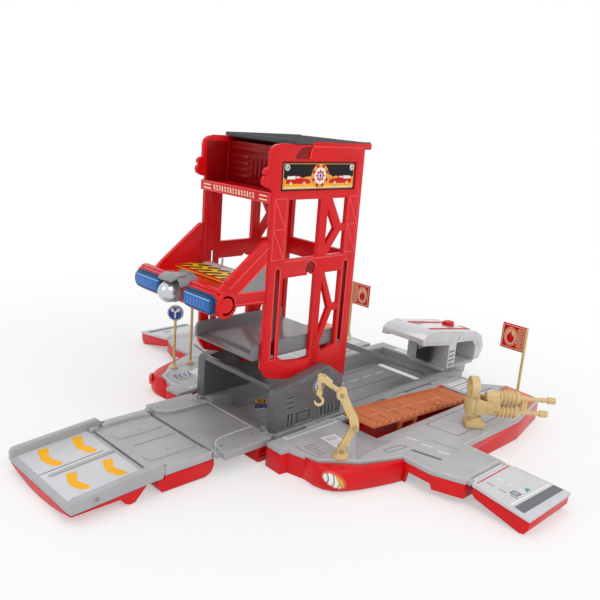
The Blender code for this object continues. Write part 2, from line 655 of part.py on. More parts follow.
# Front chain
def lane(x0, x1, half, curve, lip_back_0=LIP_BACK, lip_back_1=LIP_BACK):
    """Flat lane between two hinge lines with a raised lip along each side.

    The curve gives the lip's inner edge as (share of the lip's length, y).
    """
    solids = [box(x0 + FIELD_EDGE, x1 - FIELD_EDGE, -RAIL_IN - 1, RAIL_IN + 1, HINGE_Z - 3.5, HINGE_Z)]
    start, end = x0 + lip_back_0, x1 - lip_back_1
    for s in (-1, 1):
        plan = [(start, s * half)]
        plan += [(start + (end - start) * share, s * y) for share, y in curve]
        plan.append((end, s * half))
        solids.append(rounded(prism("Z", plan, HINGE_Z - 3.5, DECK_Z), 0.8, 1))
    return solids


def lane_knuckles(x, spans, s, side):
    out = []
    for a, b in spans:
        y = sorted((s * a, s * b))
        out.append(rod("Y", x, HINGE_Z, *y, KNUCKLE_R))
        web = sorted((x, x + side * (LIP_BACK + 0.6)))
        out.append(box(*web, *y, HINGE_Z - KNUCKLE_R + 0.1, HINGE_Z + KNUCKLE_R - 0.1))
    return out


def corner_cut(x0, x1, half):
    """Clears the field's outer corner beside the knuckles of the next panel."""
    return [box(x0, x1, *sorted((s * RAIL_IN, s * (half + 1))), 0.0, DECK_Z + 5) for s in (-1, 1)]


def front_chain(root):
    a = empty("hinge_a", (HINGE_A, 0.0, HINGE_Z), root)
    b = empty("hinge_b", (HINGE_B - HINGE_A, 0.0, 0.0), a)
    c = empty("hinge_c", (HINGE_C - HINGE_B, 0.0, 0.0), b)
    at_a = (HINGE_A, 0.0, HINGE_Z)
    at_b = (HINGE_B, 0.0, HINGE_Z)
    at_c = (HINGE_C, 0.0, HINGE_Z)

    grille = lane(HINGE_B, HINGE_A, GRILLE_HALF, GRILLE_LIP)
    for k in range(5):
        x = -38.0 + 5.6 * k
        grille.append(box(x, x + 2.6, -36.0, 36.0, 10.6, 13.4))
    cuts = corner_cut(HINGE_A - LIP_BACK, HINGE_A, 55.0) + corner_cut(HINGE_B, HINGE_B + LIP_BACK, 55.0)
    panel = node("grille_panel", "light_gray", grille, cuts, at=at_a, parent=a, offset=(0, 0, 0))
    panel["at"] = at_a
    late = []
    for s in (-1, 1):
        late += lane_knuckles(HINGE_A, A_MOVING, s, -1)
        late += lane_knuckles(HINGE_B, B_FIXED, s, 1)
    add_steps(panel, "late", "UNION", late)
    add_steps(panel, "bore", "DIFFERENCE", [
        rod("Y", HINGE_A, HINGE_Z, -52.0, 52.0, PIN_R + GAP, PIN_SIDES),
        rod("Y", HINGE_B, HINGE_Z, -52.0, 52.0, PIN_R + GAP, PIN_SIDES),
    ])

    hood = lane(HINGE_C, HINGE_B, HOOD_HALF, HOOD_CURVE, HOOD_LIP)
    for s in (-1, 1):
        pad = box(HINGE_C + 8, HINGE_B - 4, *sorted((s * 14.4, s * 28.2)), HINGE_Z - 1.2, HINGE_Z + 0.9)
        hood.append(rounded(pad, 5.0, 3, 2))
    cuts = corner_cut(HINGE_B - LIP_BACK, HINGE_B, 55.0) + corner_cut(HINGE_C, HINGE_C + HOOD_LIP, 55.0)
    panel = node("hood_panel", "light_gray", hood, cuts, at=at_b, parent=b, offset=(0, 0, 0))
    panel["at"] = at_b
    late = []
    for s in (-1, 1):
        late += lane_knuckles(HINGE_B, B_MOVING, s, -1)
        late.append(rod("Y", HINGE_B, HINGE_Z, *sorted((s * 42.3, s * 48.2)), PIN_R, PIN_SIDES))
        late.append(rod("Y", HINGE_B, HINGE_Z, *sorted((s * 43.7, s * 45.6)), PIN_R + 0.5, PIN_SIDES))
        late += lane_knuckles(HINGE_C, C_HOOD, s, 1)
    add_steps(panel, "late", "UNION", late)
    add_steps(panel, "bore", "DIFFERENCE", [
        rod("Y", HINGE_C, HINGE_Z, -52.0, 52.0, PIN_R + GAP, PIN_SIDES),
    ])
    under = HINGE_Z - 3.5 - GAP
    front, rear = HINGE_C + 3.1, HINGE_B - 0.8
    profile = [
        (front, under), (front + 0.8, 6.0), (front + 4, 0.6), (rear - 8, 0.4), (rear - 2.4, 2.6),
        (rear, 7.5), (rear - 0.3, under),
    ]
    hollow = [(front + 3, under + 1), (front + 3.6, 6.6), (front + 6, 3.0), (rear - 9, 2.8),
              (rear - 4.6, 4.6), (rear - 2.8, 8.0), (rear - 2.8, under + 1)]
    node("hood_shell", "red", [prism("Y", profile, -HOOD_HALF + 0.5, HOOD_HALF - 0.5)], [
        prism("Y", hollow, -HOOD_HALF + 3, -2.0),
        prism("Y", hollow, 2.0, HOOD_HALF - 3),
        *[box(front - 1, HINGE_C + HOOD_LIP + 0.2, *sorted((s * (HOOD_HALF - RAMP_WALL - 0.5), s * 60)), 10.4, 30)
          for s in (-1, 1)],
    ], at=at_b, parent=b, offset=(0, 0, 0))

    wall_out = HOOD_HALF
    wall_in = wall_out - RAMP_WALL
    back = HINGE_C + HOOD_LIP - 2 * GAP
    edge = HINGE_C - FIELD_EDGE
    floor = [
        (edge, 17.0), (RAMP_TIP + 1.6, TIP_Z), (RAMP_TIP, TIP_Z - 1.4), (RAMP_TIP, TIP_Z - 4.2),
        (RAMP_TIP + 1.6, TIP_Z - 5.0), (edge - 5, 12.4), (edge, 15.6),
    ]
    solids = [prism("Y", floor, -wall_in - 0.5, wall_in + 0.5)]
    notches = []
    late = []
    for s in (-1, 1):
        solids.append(rounded(prism("Y", [
            (back, 21.6), (back - 2.4, 24.0), (RAMP_TIP + 3, TIP_Z + 6.4), (RAMP_TIP, TIP_Z + 3.4),
            (RAMP_TIP, TIP_Z - 3.6), (RAMP_TIP + 2.4, TIP_Z - 4.6), (back - 8, 11.2), (back - 2.4, 10.9),
            (back - 0.8, 12.6), (back, 14.9),
        ], *sorted((s * wall_in, s * wall_out))), 0.8, 1, 0))
        pin = sorted((s * (C_HOOD[0][0] + 0.4), s * (wall_in + 1)))
        late.append(rod("Y", HINGE_C, HINGE_Z, *pin, PIN_R, PIN_SIDES))
        boss = sorted((s * (wall_out - 1), s * (wall_out + 0.9)))
        late.append(rod("Y", RAMP_TIP + 18, TIP_Z + 2.4, *boss, 2.2))
        y = sorted((s * (C_HOOD[0][0] - GAP), s * (wall_in - 0.1)))
        notches.append(box(HINGE_C - KNUCKLE_R - GAP, edge + 1, *y, 5.0, 25.0))
    late.append(prism("Y", [
        (edge - 3, 16.0), (edge - 3, 18.0), (RAMP_TIP + 9, TIP_Z + 1.6), (RAMP_TIP + 6, TIP_Z - 1.0),
    ], -1.4, 1.4))
    panel = node("ramp_panel", "light_gray", solids, at=at_c, parent=c, offset=(0, 0, 0))
    panel["at"] = at_c
    add_steps(panel, "notch", "DIFFERENCE", notches)
    add_steps(panel, "late", "UNION", late)

    slope = (12.4 - TIP_Z + 5.0) / (edge - 5 - RAMP_TIP - 1.6)
    belly = [(-wall_out + 0.6, 30.0)]
    for k in range(13):
        y = (wall_out - 0.6) * (k / 6 - 1)
        belly.append((y, 0.4 + 6.4 * (y / wall_out) ** 2))
    belly.append((wall_out - 0.6, 30.0))
    hump = [
        (edge - 3.4, 30.0), (edge - 3.4, 11.0), (edge - 13, 0.7), (edge - 17, 0.3), (edge - 21, 2.2),
        (edge - 26, 8.0), (edge - 26, 30.0),
    ]
    over = [(x, TIP_Z - 5.0 + slope * (x - RAMP_TIP - 1.6) - GAP - 0.05) for x in (RAMP_TIP - 5, edge)]
    beside = [(RAMP_TIP - 5, TIP_Z - 5.5), (edge, 10.7), (edge, 41.0), (RAMP_TIP - 6, 41.0)]
    node("ramp_shell", "red", [
        prism("X", belly, RAMP_TIP + 0.6, edge - 22),
        prism("Y", hump, -wall_out + 0.9, wall_out - 0.9),
    ], [
        prism("Y", [*over, (edge, 40.0), (RAMP_TIP - 5, 40.0)], -60.0, 60.0),
        prism("Y", beside, -61.0, -wall_in + 0.8),
        prism("Y", beside, wall_in - 0.8, 61.0),
        box(edge - 19, edge - 8, -40.0, -2.0, 2.6, 30.0),
        box(edge - 19, edge - 8, 2.0, 40.0, 2.6, 30.0),
        box(RAMP_TIP + 5, edge - 26, -28.0, -2.0, 4.4, 30.0),
        box(RAMP_TIP + 5, edge - 26, 2.0, 28.0, 4.4, 30.0),
    ], at=at_c, parent=c, offset=(0, 0, 0))


# Side panels
OUTLINE = [
    (-5.0, PANEL_IN), (-6.0, 76.0), (1.0, 77.0), (6.5, 103.0), (16.0, 110.0), (30.0, 123.5),
    (50.0, 132.0), (64.0, 138.0), (63.0, 164.0), (71.5, FLAP_Y - SIDE_BACK),
    (123.0, FLAP_Y - SIDE_BACK), (125.0, 156.0), (209.0, 155.0), (268.0, 142.0), (271.5, 104.0),
    (256.0, 87.0), (256.0, PANEL_IN),
]


WING = (
    ((4.2, 92.0), (3.6, 92.4)), ((6.5, 103.0), (1.8, 104.0)), ((9.5, 105.2), (2.6, 113.0)),
    ((14.0, 108.5), (6.5, 120.5)), ((21.0, 114.8), (13.5, 126.0)), ((30.0, 123.5), (25.0, 130.5)),
    ((42.0, 128.6), (39.5, 135.2)), ((54.0, 133.7), (52.5, 138.6)), ((63.4, 137.8), (63.0, 140.4)),
)


def fender(s):
    """Loft of the rounded wing that swells out of the panel's front corner."""
    bm = bmesh.new()
    rings = []
    for edge, outer in WING:
        run = (Vector(outer) - Vector(edge)).normalized()
        start = Vector(edge) + run * 0.45
        width = (Vector(outer) - start).length
        section = [
            (-2.0, 0.6), (-2.0, 15.7), (0.0, 15.7), (0.1, 18.0), (0.45 * width, 18.7),
            (0.8 * width, 17.0), (0.97 * width, 13.0), (width, 8.0), (0.96 * width, 3.5),
            (0.8 * width, 0.6),
        ]
        ring = []
        for out, z in section:
            spot = start + run * out
            ring.append(bm.verts.new((spot.x, s * spot.y, z)))
        rings.append(ring)
    for a, b in zip(rings, rings[1:]):
        for k in range(len(a)):
            j = (k + 1) % len(a)
            bm.faces.new((a[k], a[j], b[j], b[k]))
    bm.faces.new(rings[0])
    bm.faces.new(rings[-1])
    return outward(bm)


def flare(s, inward):
    """Cuts that give the flap its plan, wider at the free end than at the hinge."""
    root, end = FLAP_Y + SIDE_BACK, FLAP_END + 1
    out = []
    for x, way, spread in ((FLAP_X0 + inward, -1, FLARE[0]), (FLAP_X1 - inward, 1, FLARE[1])):
        out.append(prism("Z", [
            (x + way * 15, s * (root - 1)), (x, s * (root - 1)), (x, s * (root + 1)),
            (x + way * spread, s * end), (x + way * 15, s * end),
        ], -1, 25))
    return out


def inset(points, depth):
    """Outline moved inward by depth, corner by corner."""
    out = []
    count = len(points)
    area = sum(points[k][0] * points[(k + 1) % count][1] - points[(k + 1) % count][0] * points[k][1]
               for k in range(count))
    turn = 1.0 if area > 0 else -1.0
    for k in range(count):
        p, q, r = (Vector(points[(k + d) % count]) for d in (-1, 0, 1))
        e, f = (q - p).normalized(), (r - q).normalized()
        n1, n2 = Vector((-e.y, e.x)) * turn, Vector((-f.y, f.x)) * turn
        out.append(tuple(q + (n1 + n2) * depth / (1 + n1.dot(n2))))
    return out


def side_panel(root, tag, s):
    at = (0.0, s * SIDE_Y, SIDE_Z)
    pivot = empty(tag + "_panel_pivot", at, root)
    plan = [(x, s * y) for x, y in OUTLINE]
    low = DECK_Z - PLATE_T
    near = s < 0
    x0, x1, r0, r1 = RECESS
    recess_y = sorted((s * r0, s * r1))

    solids = [prism("Z", plan, low, DECK_Z)]
    cuts = [box(x0, x1, *recess_y, low - 1, DECK_Z + 1)] if near else []
    deck = node(tag + "_deck", "light_gray", solids, cuts, at=at, parent=pivot, offset=(0, 0, 0))
    deck["at"] = at
    late = []
    for a, b in SIDE_MOVING:
        late.append(rod("X", s * SIDE_Y, SIDE_Z, a, b, SIDE_KNUCKLE, 10))
        late.append(box(a, b, *sorted((s * SIDE_Y, s * (PANEL_IN + 0.5))), SIDE_Z - 1.4, SIDE_Z + 1.4))
    flap_base = FLAP_Y - SIDE_BACK - 0.5
    for a, b in ((FLAP_X0, FLAP_X0 + 4.3), (FLAP_X1 - 4.3, FLAP_X1)):
        late.append(rod("X", s * FLAP_Y, SIDE_Z, a, b, SIDE_KNUCKLE, 10))
        late.append(box(a, b, *sorted((s * flap_base, s * FLAP_Y)), SIDE_Z - 1.4, SIDE_Z + 1.4))
    add_steps(deck, "late", "UNION", late)
    add_steps(deck, "bore", "DIFFERENCE", [
        rod("X", s * SIDE_Y, SIDE_Z, SIDE_ROD[0] - 0.4, SIDE_ROD[1] + 0.4, SIDE_PIN + GAP, PIN_SIDES),
        rod("X", s * FLAP_Y, SIDE_Z, FLAP_X0 - 1, FLAP_X1 + 1, SIDE_PIN + GAP, PIN_SIDES),
    ])

    top = low - GAP
    shell = [prism("Z", plan, 0.0, top)]
    hollow = [(x, s * y) for x, y in inset(OUTLINE, SHELL_WALL)]
    well_cut = [prism("Z", hollow, -1.0, top - 2.2)]
    body = node(tag + "_shell", "red", shell, well_cut, at=at, parent=pivot, offset=(0, 0, 0))
    body["at"] = at
    late = [bar((x, s * WHEEL_Y, 1.0), (x, s * WHEEL_Y, top - 1), PEG_R) for x in WHEEL_X]
    for x, half in ((135.0, 1.2), (190.0, 1.2)):
        late.append(box(x - half, x + half, *sorted((s * (PANEL_IN + 1), s * 153.0)), 3.0, top - 1))
    late.append(fender(s))
    if near:
        around = sorted((s * (r0 - 2), s * (r1 + 2)))
        late.append(box(x0 - 2, RECESS_STEP[0] + 2, *around, RECESS_Z - 2, top))
        late.append(box(RECESS_STEP[0], x1 + 2, *around, RECESS_STEP[1] - 1.8, top))
    add_steps(body, "late", "UNION", late)
    add_steps(body, "foot", "DIFFERENCE", [prism("X", [
        (s * 141.5, -1.0), (s * 143.5, 9.5), (s * 164.5, 9.5), (s * 166.0, 5.0), (s * 192.0, 5.0),
        (s * 192.0, -1.0),
    ], 50.0, 130.0)])
    if near:
        add_steps(body, "recess", "DIFFERENCE", [
            box(x0, RECESS_STEP[0], *recess_y, RECESS_Z, top + 1),
            box(RECESS_STEP[0] - 1, x1, *recess_y, RECESS_STEP[1], top + 1),
        ])
        ears = [box(BRIDGE_X - 3, BRIDGE_X + 3, *y, RECESS_STEP[1] - 1, SIDE_Z + 2.6)
                for y in ((-r1 - 1.0, -BRIDGE_Y1 - 0.3), (-BRIDGE_Y0 + 0.3, -r0 + 1.0))]
        clear = [box(BRIDGE_X - 4, BRIDGE_X + 4, *y, top - 0.1, DECK_Z + 3)
                 for y in ((-r1 - 2.0, -r1 + 0.3), (-r0 - 0.3, -r0 + 2.0))]
        add_steps(body, "ears", "UNION", ears)
        add_steps(body, "clear", "DIFFERENCE", clear + [
            rod("Y", BRIDGE_X, SIDE_Z, -r1 + 0.8, -r0 - 0.8, PIN_R + GAP, PIN_SIDES),
        ])

    flap_at = (0.0, s * FLAP_Y, SIDE_Z)
    hinge = empty(tag + "_flap_pivot", (0.0, s * (FLAP_Y - SIDE_Y), 0.0), pivot)
    inner = FLAP_Y + SIDE_BACK
    flap = node(tag + "_flap", "light_gray", [prism("X", [
        (s * inner, low), (s * inner, DECK_Z), (s * FLAP_END, 13.5), (s * FLAP_END, 11.5),
    ], FLAP_X0 - 8, FLAP_X1 + 14)], flare(s, 0.0), at=flap_at, parent=hinge, offset=(0, 0, 0))
    flap["at"] = flap_at
    web = sorted((s * FLAP_Y, s * (inner + 0.6)))
    add_steps(flap, "late", "UNION", [
        rod("X", s * FLAP_Y, SIDE_Z, FLAP_X0 + 4.6, FLAP_X1 - 4.6, SIDE_KNUCKLE, 10),
        box(FLAP_X0 + 4.6, FLAP_X1 - 4.6, *web, SIDE_Z - 1.4, SIDE_Z + 1.0),
        rod("X", s * FLAP_Y, SIDE_Z, FLAP_X0 + 0.3, FLAP_X1 - 0.3, SIDE_PIN, PIN_SIDES),
    ])
    drop = (low - 11.5) / (FLAP_END - inner)
    pocket = [
        (s * (inner + 6), -1.0), (s * (inner + 6), low - 3.4 - 6 * drop),
        (s * (FLAP_END - 11), low - 3.4 - (FLAP_END - 11 - inner) * drop), (s * (FLAP_END - 11), -1.0),
    ]
    node(tag + "_flap_shell", "red", [prism("X", [
        (s * (inner + 0.6), low - GAP - 0.6 * drop), (s * (FLAP_END - 0.6), 11.5 - GAP + 0.6 * drop),
        (s * (FLAP_END - 0.8), 5.0), (s * (FLAP_END - 3.4), 0.8), (s * (FLAP_END - 7), 0.0),
        (s * (inner + 20), 4.4), (s * (inner + 3), 8.0), (s * (inner + 0.6), 10.0),
    ], FLAP_X0 - 8, FLAP_X1 + 14)], [
        prism("X", pocket, FLAP_X0 + 3.5, FLAP_X1 - 3.5), *flare(s, 1.0),
    ], at=flap_at, parent=hinge, offset=(0, 0, 0))

    for label, x in zip(("front", "rear"), WHEEL_X):
        wheel_at = (x, s * WHEEL_Y, 6.0)
        wheel = bar((x, s * WHEEL_Y, 1.4), (x, s * WHEEL_Y, 10.4), WHEEL_R, sides=24)
        cuts = [
            bar((x, s * WHEEL_Y, 0.0), (x, s * WHEEL_Y, 12.0), PEG_R + GAP, sides=12),
            bar((x, s * WHEEL_Y, -0.6), (x, s * WHEEL_Y, 3.4), 12.5, sides=16),
        ]
        hub = bar((x, s * WHEEL_Y, 1.0), (x, s * WHEEL_Y, 4.0), 6.0, sides=12)
        item = node(tag + "_wheel_" + label, "tyre", [wheel], cuts[1:], at=wheel_at)
        item["at"] = wheel_at
        add_steps(item, "hub", "UNION", [hub])
        add_steps(item, "bore", "DIFFERENCE", cuts[:1])
        hang(item, pivot, at)
    return pivot


# Accessories
def bridge(pivot, pivot_at):
    hinge = empty("bridge_pivot", (
        BRIDGE_X - pivot_at[0], -pivot_at[1], SIDE_Z - pivot_at[2],
    ), pivot, (0.0, BRIDGE_TILT, 0.0))
    half = BRIDGE_T / 2
    y0, y1 = -BRIDGE_Y1, -BRIDGE_Y0
    solids = [
        prism("Y", [
            (1.6, -half), (2.4, 0.0), (1.6, half), (-BRIDGE_LEN + 3, half), (-BRIDGE_LEN, -0.4),
            (-BRIDGE_LEN, -half),
        ], y0, y1),
        rod("Y", 0.0, 0.0, y0 - 2.0, y1 + 2.0, PIN_R, PIN_SIDES),
        bar((-52.0, y0 + 2, 0.5), (-52.0, y0 + 2, 4.6), 3.2, sides=12),
    ]
    for y in (y0, y1 - 2):
        solids.append(box(-BRIDGE_LEN + 6, -4.0, y, y + 2.0, 0.0, half + 1.6))
    grooves = [box(x, x + 1.2, y0 + 4, y1 - 4, half - 0.6, half + 1) for x in (-120, -100, -80, -36, -20)]
    node("bridge_plate", "orange", solids, grooves, parent=hinge)
    prop_at = (-92.0, y0 + 3.0, -half - 2.0)
    prop = empty("prop_pivot", prop_at, hinge)
    reach = 13.2
    node("bridge_prop", "orange", [
        bar((-12.0, 0.0, 0.0), (12.0, 0.0, 0.0), 1.6, sides=12),
        box(-12.0, -8.5, -1.3, 1.3, -reach, 0.4),
        box(8.5, 12.0, -1.3, 1.3, -reach + 1.4, 0.4),
    ], parent=prop)


def crane(pivot, pivot_at):
    at = (CRANE_AT[0] - pivot_at[0], CRANE_AT[1] - pivot_at[1], DECK_Z + GAP - pivot_at[2])
    turn = empty("crane_turn", at, pivot, (0.0, 0.0, DIAGONAL))
    pin = (0.0, 0.0, 6.4)
    base = [bar((0, 0, 0), (0, 0, 2.6), 6.6, 6.0, 16)]
    for s in (-1, 1):
        cheek = sorted((s * 2.6, s * 4.4))
        base.append(prism("Y", [(-3.6, 1.5), (-2.6, 8.6), (2.6, 8.6), (3.6, 1.5)], *cheek))
    node("crane_base", "cream", base, [rod("Y", 0.0, pin[2], -5.0, 5.0, 1.5, PIN_SIDES)], parent=turn)
    shoulder = empty("crane_shoulder", pin, turn)
    node("crane_link", "cream", [
        rod("Y", 0.0, 0.0, -2.3, 2.3, 2.8), rod("Y", 8.0, 19.2, -2.3, 2.3, 2.8),
        prism("Y", [(-2.4, 1.0), (2.4, -1.0), (10.4, 18.4), (5.6, 20.2)], -2.0, 2.0),
        rod("Y", 0.0, 0.0, -4.2, 4.2, 1.2, PIN_SIDES), rod("Y", 8.0, 19.2, -4.2, 4.2, 1.2, PIN_SIDES),
    ], parent=shoulder)
    elbow = empty("crane_elbow", (8.0, 0.0, 19.2), shoulder)
    arm = [prism("Y", [(-5.4, 6.6), (0.6, 7.6), (-8.6, 26.0), (-14.0, 25.0)], -4.0, 4.0)]
    for s in (-1, 1):
        arm.append(prism("Y", [(-3.0, -3.0), (3.0, -2.6), (2.6, 5.0), (-1.2, 12.0), (-5.6, 10.0)],
                         *sorted((s * 2.6, s * 4.4))))
    arm.append(rod("Y", -11.5, 25.0, -4.8, 4.8, 4.1))
    arm.append(prism("Y", [(-13.0, 28.0), (-10.6, 22.0), (-21.6, 30.8), (-24.0, 34.8)], -1.5, 1.5))
    arm.append(prism("Y", [(-19.6, 29.0), (-19.0, 33.6), (-25.0, 38.0), (-30.0, 37.8), (-30.0, 34.2),
                           (-27.0, 34.0)], -3.6, 3.6))
    node("crane_arm", "cream", arm, [
        rod("Y", 0.0, 0.0, -6.0, 6.0, 1.5, PIN_SIDES), rod("Y", -28.0, 36.0, -6.0, 6.0, 1.2, PIN_SIDES),
        box(-32.0, -25.2, -1.9, 1.9, 30.0, 40.0),
    ], parent=elbow)
    tip = empty("crane_tip", (-28.0, 0.0, 36.0), elbow)
    node("crane_hook", "cream", [
        rod("Y", 0.0, 0.0, -1.6, 1.6, 2.0), rod("Y", 0.0, 0.0, -3.4, 3.4, 0.9, PIN_SIDES),
        tube([(0.0, -1.0), (0.0, -10.6), (0.0, -11.2), (0.0, -14.0), (1.2, -15.2), (2.8, -17.0),
              (2.6, -19.8), (0.0, -21.4), (-2.6, -20.2), (-3.2, -17.6)],
             [1.1, 1.1, 2.0, 2.0, 1.2, 1.2, 1.2, 1.2, 1.1, 0.7]),
    ], parent=tip)


def cannon(pivot, pivot_at):
    at = (CANNON_AT[0] - pivot_at[0], CANNON_AT[1] - pivot_at[1], DECK_Z + GAP - pivot_at[2])
    base = empty("cannon_foot", at, pivot, (0.0, 0.0, DIAGONAL))
    node("cannon_base", "cream", [
        rounded(box(-8.2, 8.2, -8.2, 8.2, 0.0, 5.0), 1.6, 2, 2),
        bar((0, 0, 4.0), (0, 0, 9.0), 6.4, 5.8, 20),
    ], parent=base)
    turn = empty("cannon_turn", (0.0, 0.0, 9.3), base)
    head = [rounded(box(-8.0, 1.0, -7.2, 7.2, 0.0, 20.0), 1.4, 1, 2)]
    for s in (-1, 1):
        y = sorted((s * 7.0, s * 8.8))
        head.append(prism("Y", [(-2.0, 3.0), (13.0, 5.0), (13.0, 14.0), (-2.0, 18.0)], *y))
    head.append(rod("X", 0.0, 24.4, -7.4, -0.4, 10.2, 24))
    node("cannon_head", "cream", head, [
        rod("X", 0.0, 24.4, -8.4, 0.6, 7.4, 24), rod("Y", 10.0, 9.5, -10.0, 10.0, 1.8, PIN_SIDES),
    ], parent=turn)
    tilt = empty("cannon_tilt", (10.0, 0.0, 9.5), turn)
    guns = [
        rounded(box(-3.0, 9.0, -6.4, 6.4, -3.0, 9.0), 1.0, 1),
        rod("Y", 0.0, 0.0, -8.6, 8.6, 1.5, PIN_SIDES),
    ]
    for z, reach in ((8.4, 56.0), (-4.0, 51.0)):
        profile = [(-3.4, 4.6)]
        for k in range(5):
            x = 8.0 + 3.4 * k
            profile += [(x, 4.6), (x + 0.7, 5.9), (x + 1.9, 5.9)]
        profile += [(25.0, 4.6), (26.0, 1.9), (reach - 7, 1.9), (reach - 6.6, 3.0), (reach, 3.0)]
        barrel = turned(profile)
        bmesh.ops.translate(barrel, verts=barrel.verts[:], vec=(0.0, 0.0, z))
        guns.append(barrel)
    node("cannon_barrels", "cream", guns, [
        rod("X", 0.0, z, reach - 5.0, reach + 1, 1.4, PIN_SIDES) for z, reach in ((8.4, 56.0), (-4.0, 51.0))
    ], parent=tilt)


def pole_piece(pivot, pivot_at, name, x, y, top, kind):
    at = (x, y, DECK_Z + GAP)
    z0 = DECK_Z + GAP
    solids = [
        bar((x, y, z0), (x, y, z0 + 2.2), 3.6, 3.2, 16),
        bar((x, y, z0 + 1), (x, y, top), 1.4, sides=10),
    ]
    if kind == "disc":
        turn = Vector((-0.70, -0.71, 0.0)).normalized()
        mid = Vector((x, y, top))
        solids.append(bar(mid - turn * 1.0, mid + turn * 1.6, 7.5, sides=24))
        slot = "cream"
    else:
        y1 = y + kind * 25.0
        solids.append(box(x - 0.7, x + 0.7, *sorted((y, y1)), top - 25.0, top))
        slot = "red"
    item = node(name, slot, solids, at=at)
    hang(item, pivot, pivot_at)
    return item


def build():
    for item in list(bpy.data.objects):
        bpy.data.objects.remove(item, do_unlink=True)
    scene = bpy.context.scene
    scene.collection.children.link(COLLECTION)
    scene.collection.children.link(CUTTERS)
    CUTTERS.hide_render = True
    root = empty("garage_origin", (-CENTRE_X, 0.0, 0.0))

    chassis_tray(root)
    front_bumper(root)
    for tag, s in (("near", -1), ("far", 1)):
        side_plate(root, "side_plate_" + tag, s)
        pivot_pin(root, "pivot_pin_" + tag, s)
        hinge = node("hinge_rod_" + tag, "steel", [
            rod("X", s * SIDE_Y, SIDE_Z, *SIDE_ROD, SIDE_PIN, PIN_SIDES),
        ], parent=root)
        hinge.data.polygons.foreach_set("use_smooth", [True] * len(hinge.data.polygons))
    node("cross_bar", "dark_gray", [
        rounded(box(9.8, 14.0, -WALL_OUT, WALL_OUT, 52.5, 57.5), 1.0, 2, 1),
    ], parent=root)
    node("hinge_rod_front", "steel", [
        rod("Y", HINGE_A, HINGE_Z, -50.7, 50.7, PIN_R, PIN_SIDES),
    ], parent=root)

    frame = empty("tower_pivot", (PIVOT_X, 0.0, PIVOT_Z), root)
    tower(frame)
    lift_platform(frame)
    rear_ramp(frame)
    launcher(root)
    front_chain(root)

    near_at = (0.0, -SIDE_Y, SIDE_Z)
    far_at = (0.0, SIDE_Y, SIDE_Z)
    near = side_panel(root, "near", -1)
    far = side_panel(root, "far", 1)
    bridge(near, near_at)
    crane(near, near_at)
    cannon(near, near_at)
    pole_piece(near, near_at, "near_flag", 256.6, -125.0, 88.0, 1)
    pole_piece(far, far_at, "far_flag", 244.5, 82.7, 88.0, -1)
    pole_piece(far, far_at, "sign_front", 27.0, 112.5, 75.0, "disc")
    pole_piece(far, far_at, "sign_rear", 48.0, 115.0, 86.0, "disc")


build()
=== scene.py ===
"""Look of the folding toy parking garage: moulded plastics, prints, trims and the photo stage."""
import json
import math

import bmesh
import bpy
from bpy.props import FloatProperty, FloatVectorProperty, PointerProperty
from mathutils import Matrix, Vector


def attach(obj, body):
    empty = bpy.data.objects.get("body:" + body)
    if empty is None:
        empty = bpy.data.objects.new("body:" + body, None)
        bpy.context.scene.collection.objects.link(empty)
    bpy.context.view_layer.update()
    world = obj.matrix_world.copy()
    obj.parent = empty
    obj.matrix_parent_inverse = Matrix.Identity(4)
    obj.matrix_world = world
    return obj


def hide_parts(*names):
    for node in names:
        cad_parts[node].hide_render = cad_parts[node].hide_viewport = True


bl_info = {
    "name": "Toy parking garage look",
    "version": (1, 0, 0),
    "blender": (4, 5, 0),
    "location": "View3D > Sidebar > Garage",
    "description": "Dresses the folding toy garage in moulded plastics, prints and trims",
    "category": "Object",
}

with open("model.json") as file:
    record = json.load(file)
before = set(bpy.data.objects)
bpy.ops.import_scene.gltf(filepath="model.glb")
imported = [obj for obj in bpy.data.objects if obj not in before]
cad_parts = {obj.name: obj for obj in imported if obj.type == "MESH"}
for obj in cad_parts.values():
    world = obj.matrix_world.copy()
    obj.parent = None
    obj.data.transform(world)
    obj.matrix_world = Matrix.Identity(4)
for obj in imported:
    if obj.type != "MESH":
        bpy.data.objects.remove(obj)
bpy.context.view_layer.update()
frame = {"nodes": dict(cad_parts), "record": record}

# Places in millimetres of the design frame, whose x runs from the front ramp to the rear
MM = 0.001
CENTRE_X = 77.0
DECK_Z = 19.5
FOOT_Z = DECK_Z + 0.3
HINGE_Z = 16.5
TRAY_Z = 3.8
TOWER_TOP = 244.0
WALL_OUT = 41.5
SKIN_DEPTH = 0.9
RECESS_Y = WALL_OUT - SKIN_DEPTH
PLATE_OUT = 51.5
FLAP_ROOT = 193.2
FLAP_SLOPE = math.atan2(6.0, 47.8)
RAMP_EDGE = -100.0
RAMP_SLOPE = math.atan2(5.0, 59.4)
NOSE_X = -46.0
NOSE_Z = 133.0
LENS_Y = 31.8
BALL_X = -59.0
PIVOT_X, PIVOT_Z = 56.0, 50.0
CRANE_AT = (24.7, -109.0, FOOT_Z)
CANNON_AT = (161.7, -137.2, FOOT_Z)
DIAGONAL = math.radians(-45.4)
SIDES = (("near", -1), ("far", 1))
UP = (0, 0, 1)
DOWN = (0, 0, -1)

# Raised lines and printed films, in millimetres
LINE_ROOT = 0.25
LINE_ROUND = 0.12
FILM_ROOT = 0.15
FILM_LIFT = 0.08
FILM_STEP = 0.03
LABEL_LIFT = 0.27
LABEL_STEP = 0.035

CAMERA_AT = (-353.43, -427.95, 270.0)
CAMERA_YAW = math.radians(44.73)
CAMERA_PITCH = math.radians(14.90)
CAMERA_ROLL = math.radians(-4.42)
CAMERA_LENS = 43.14
CAMERA_SENSOR = 36.0
FLOOR_HALF = 6.0
FLOOR_DROP = 0.0003
FLOOR_FADE = (240.0, 620.0)
FLOOR_WHITE = 0.42

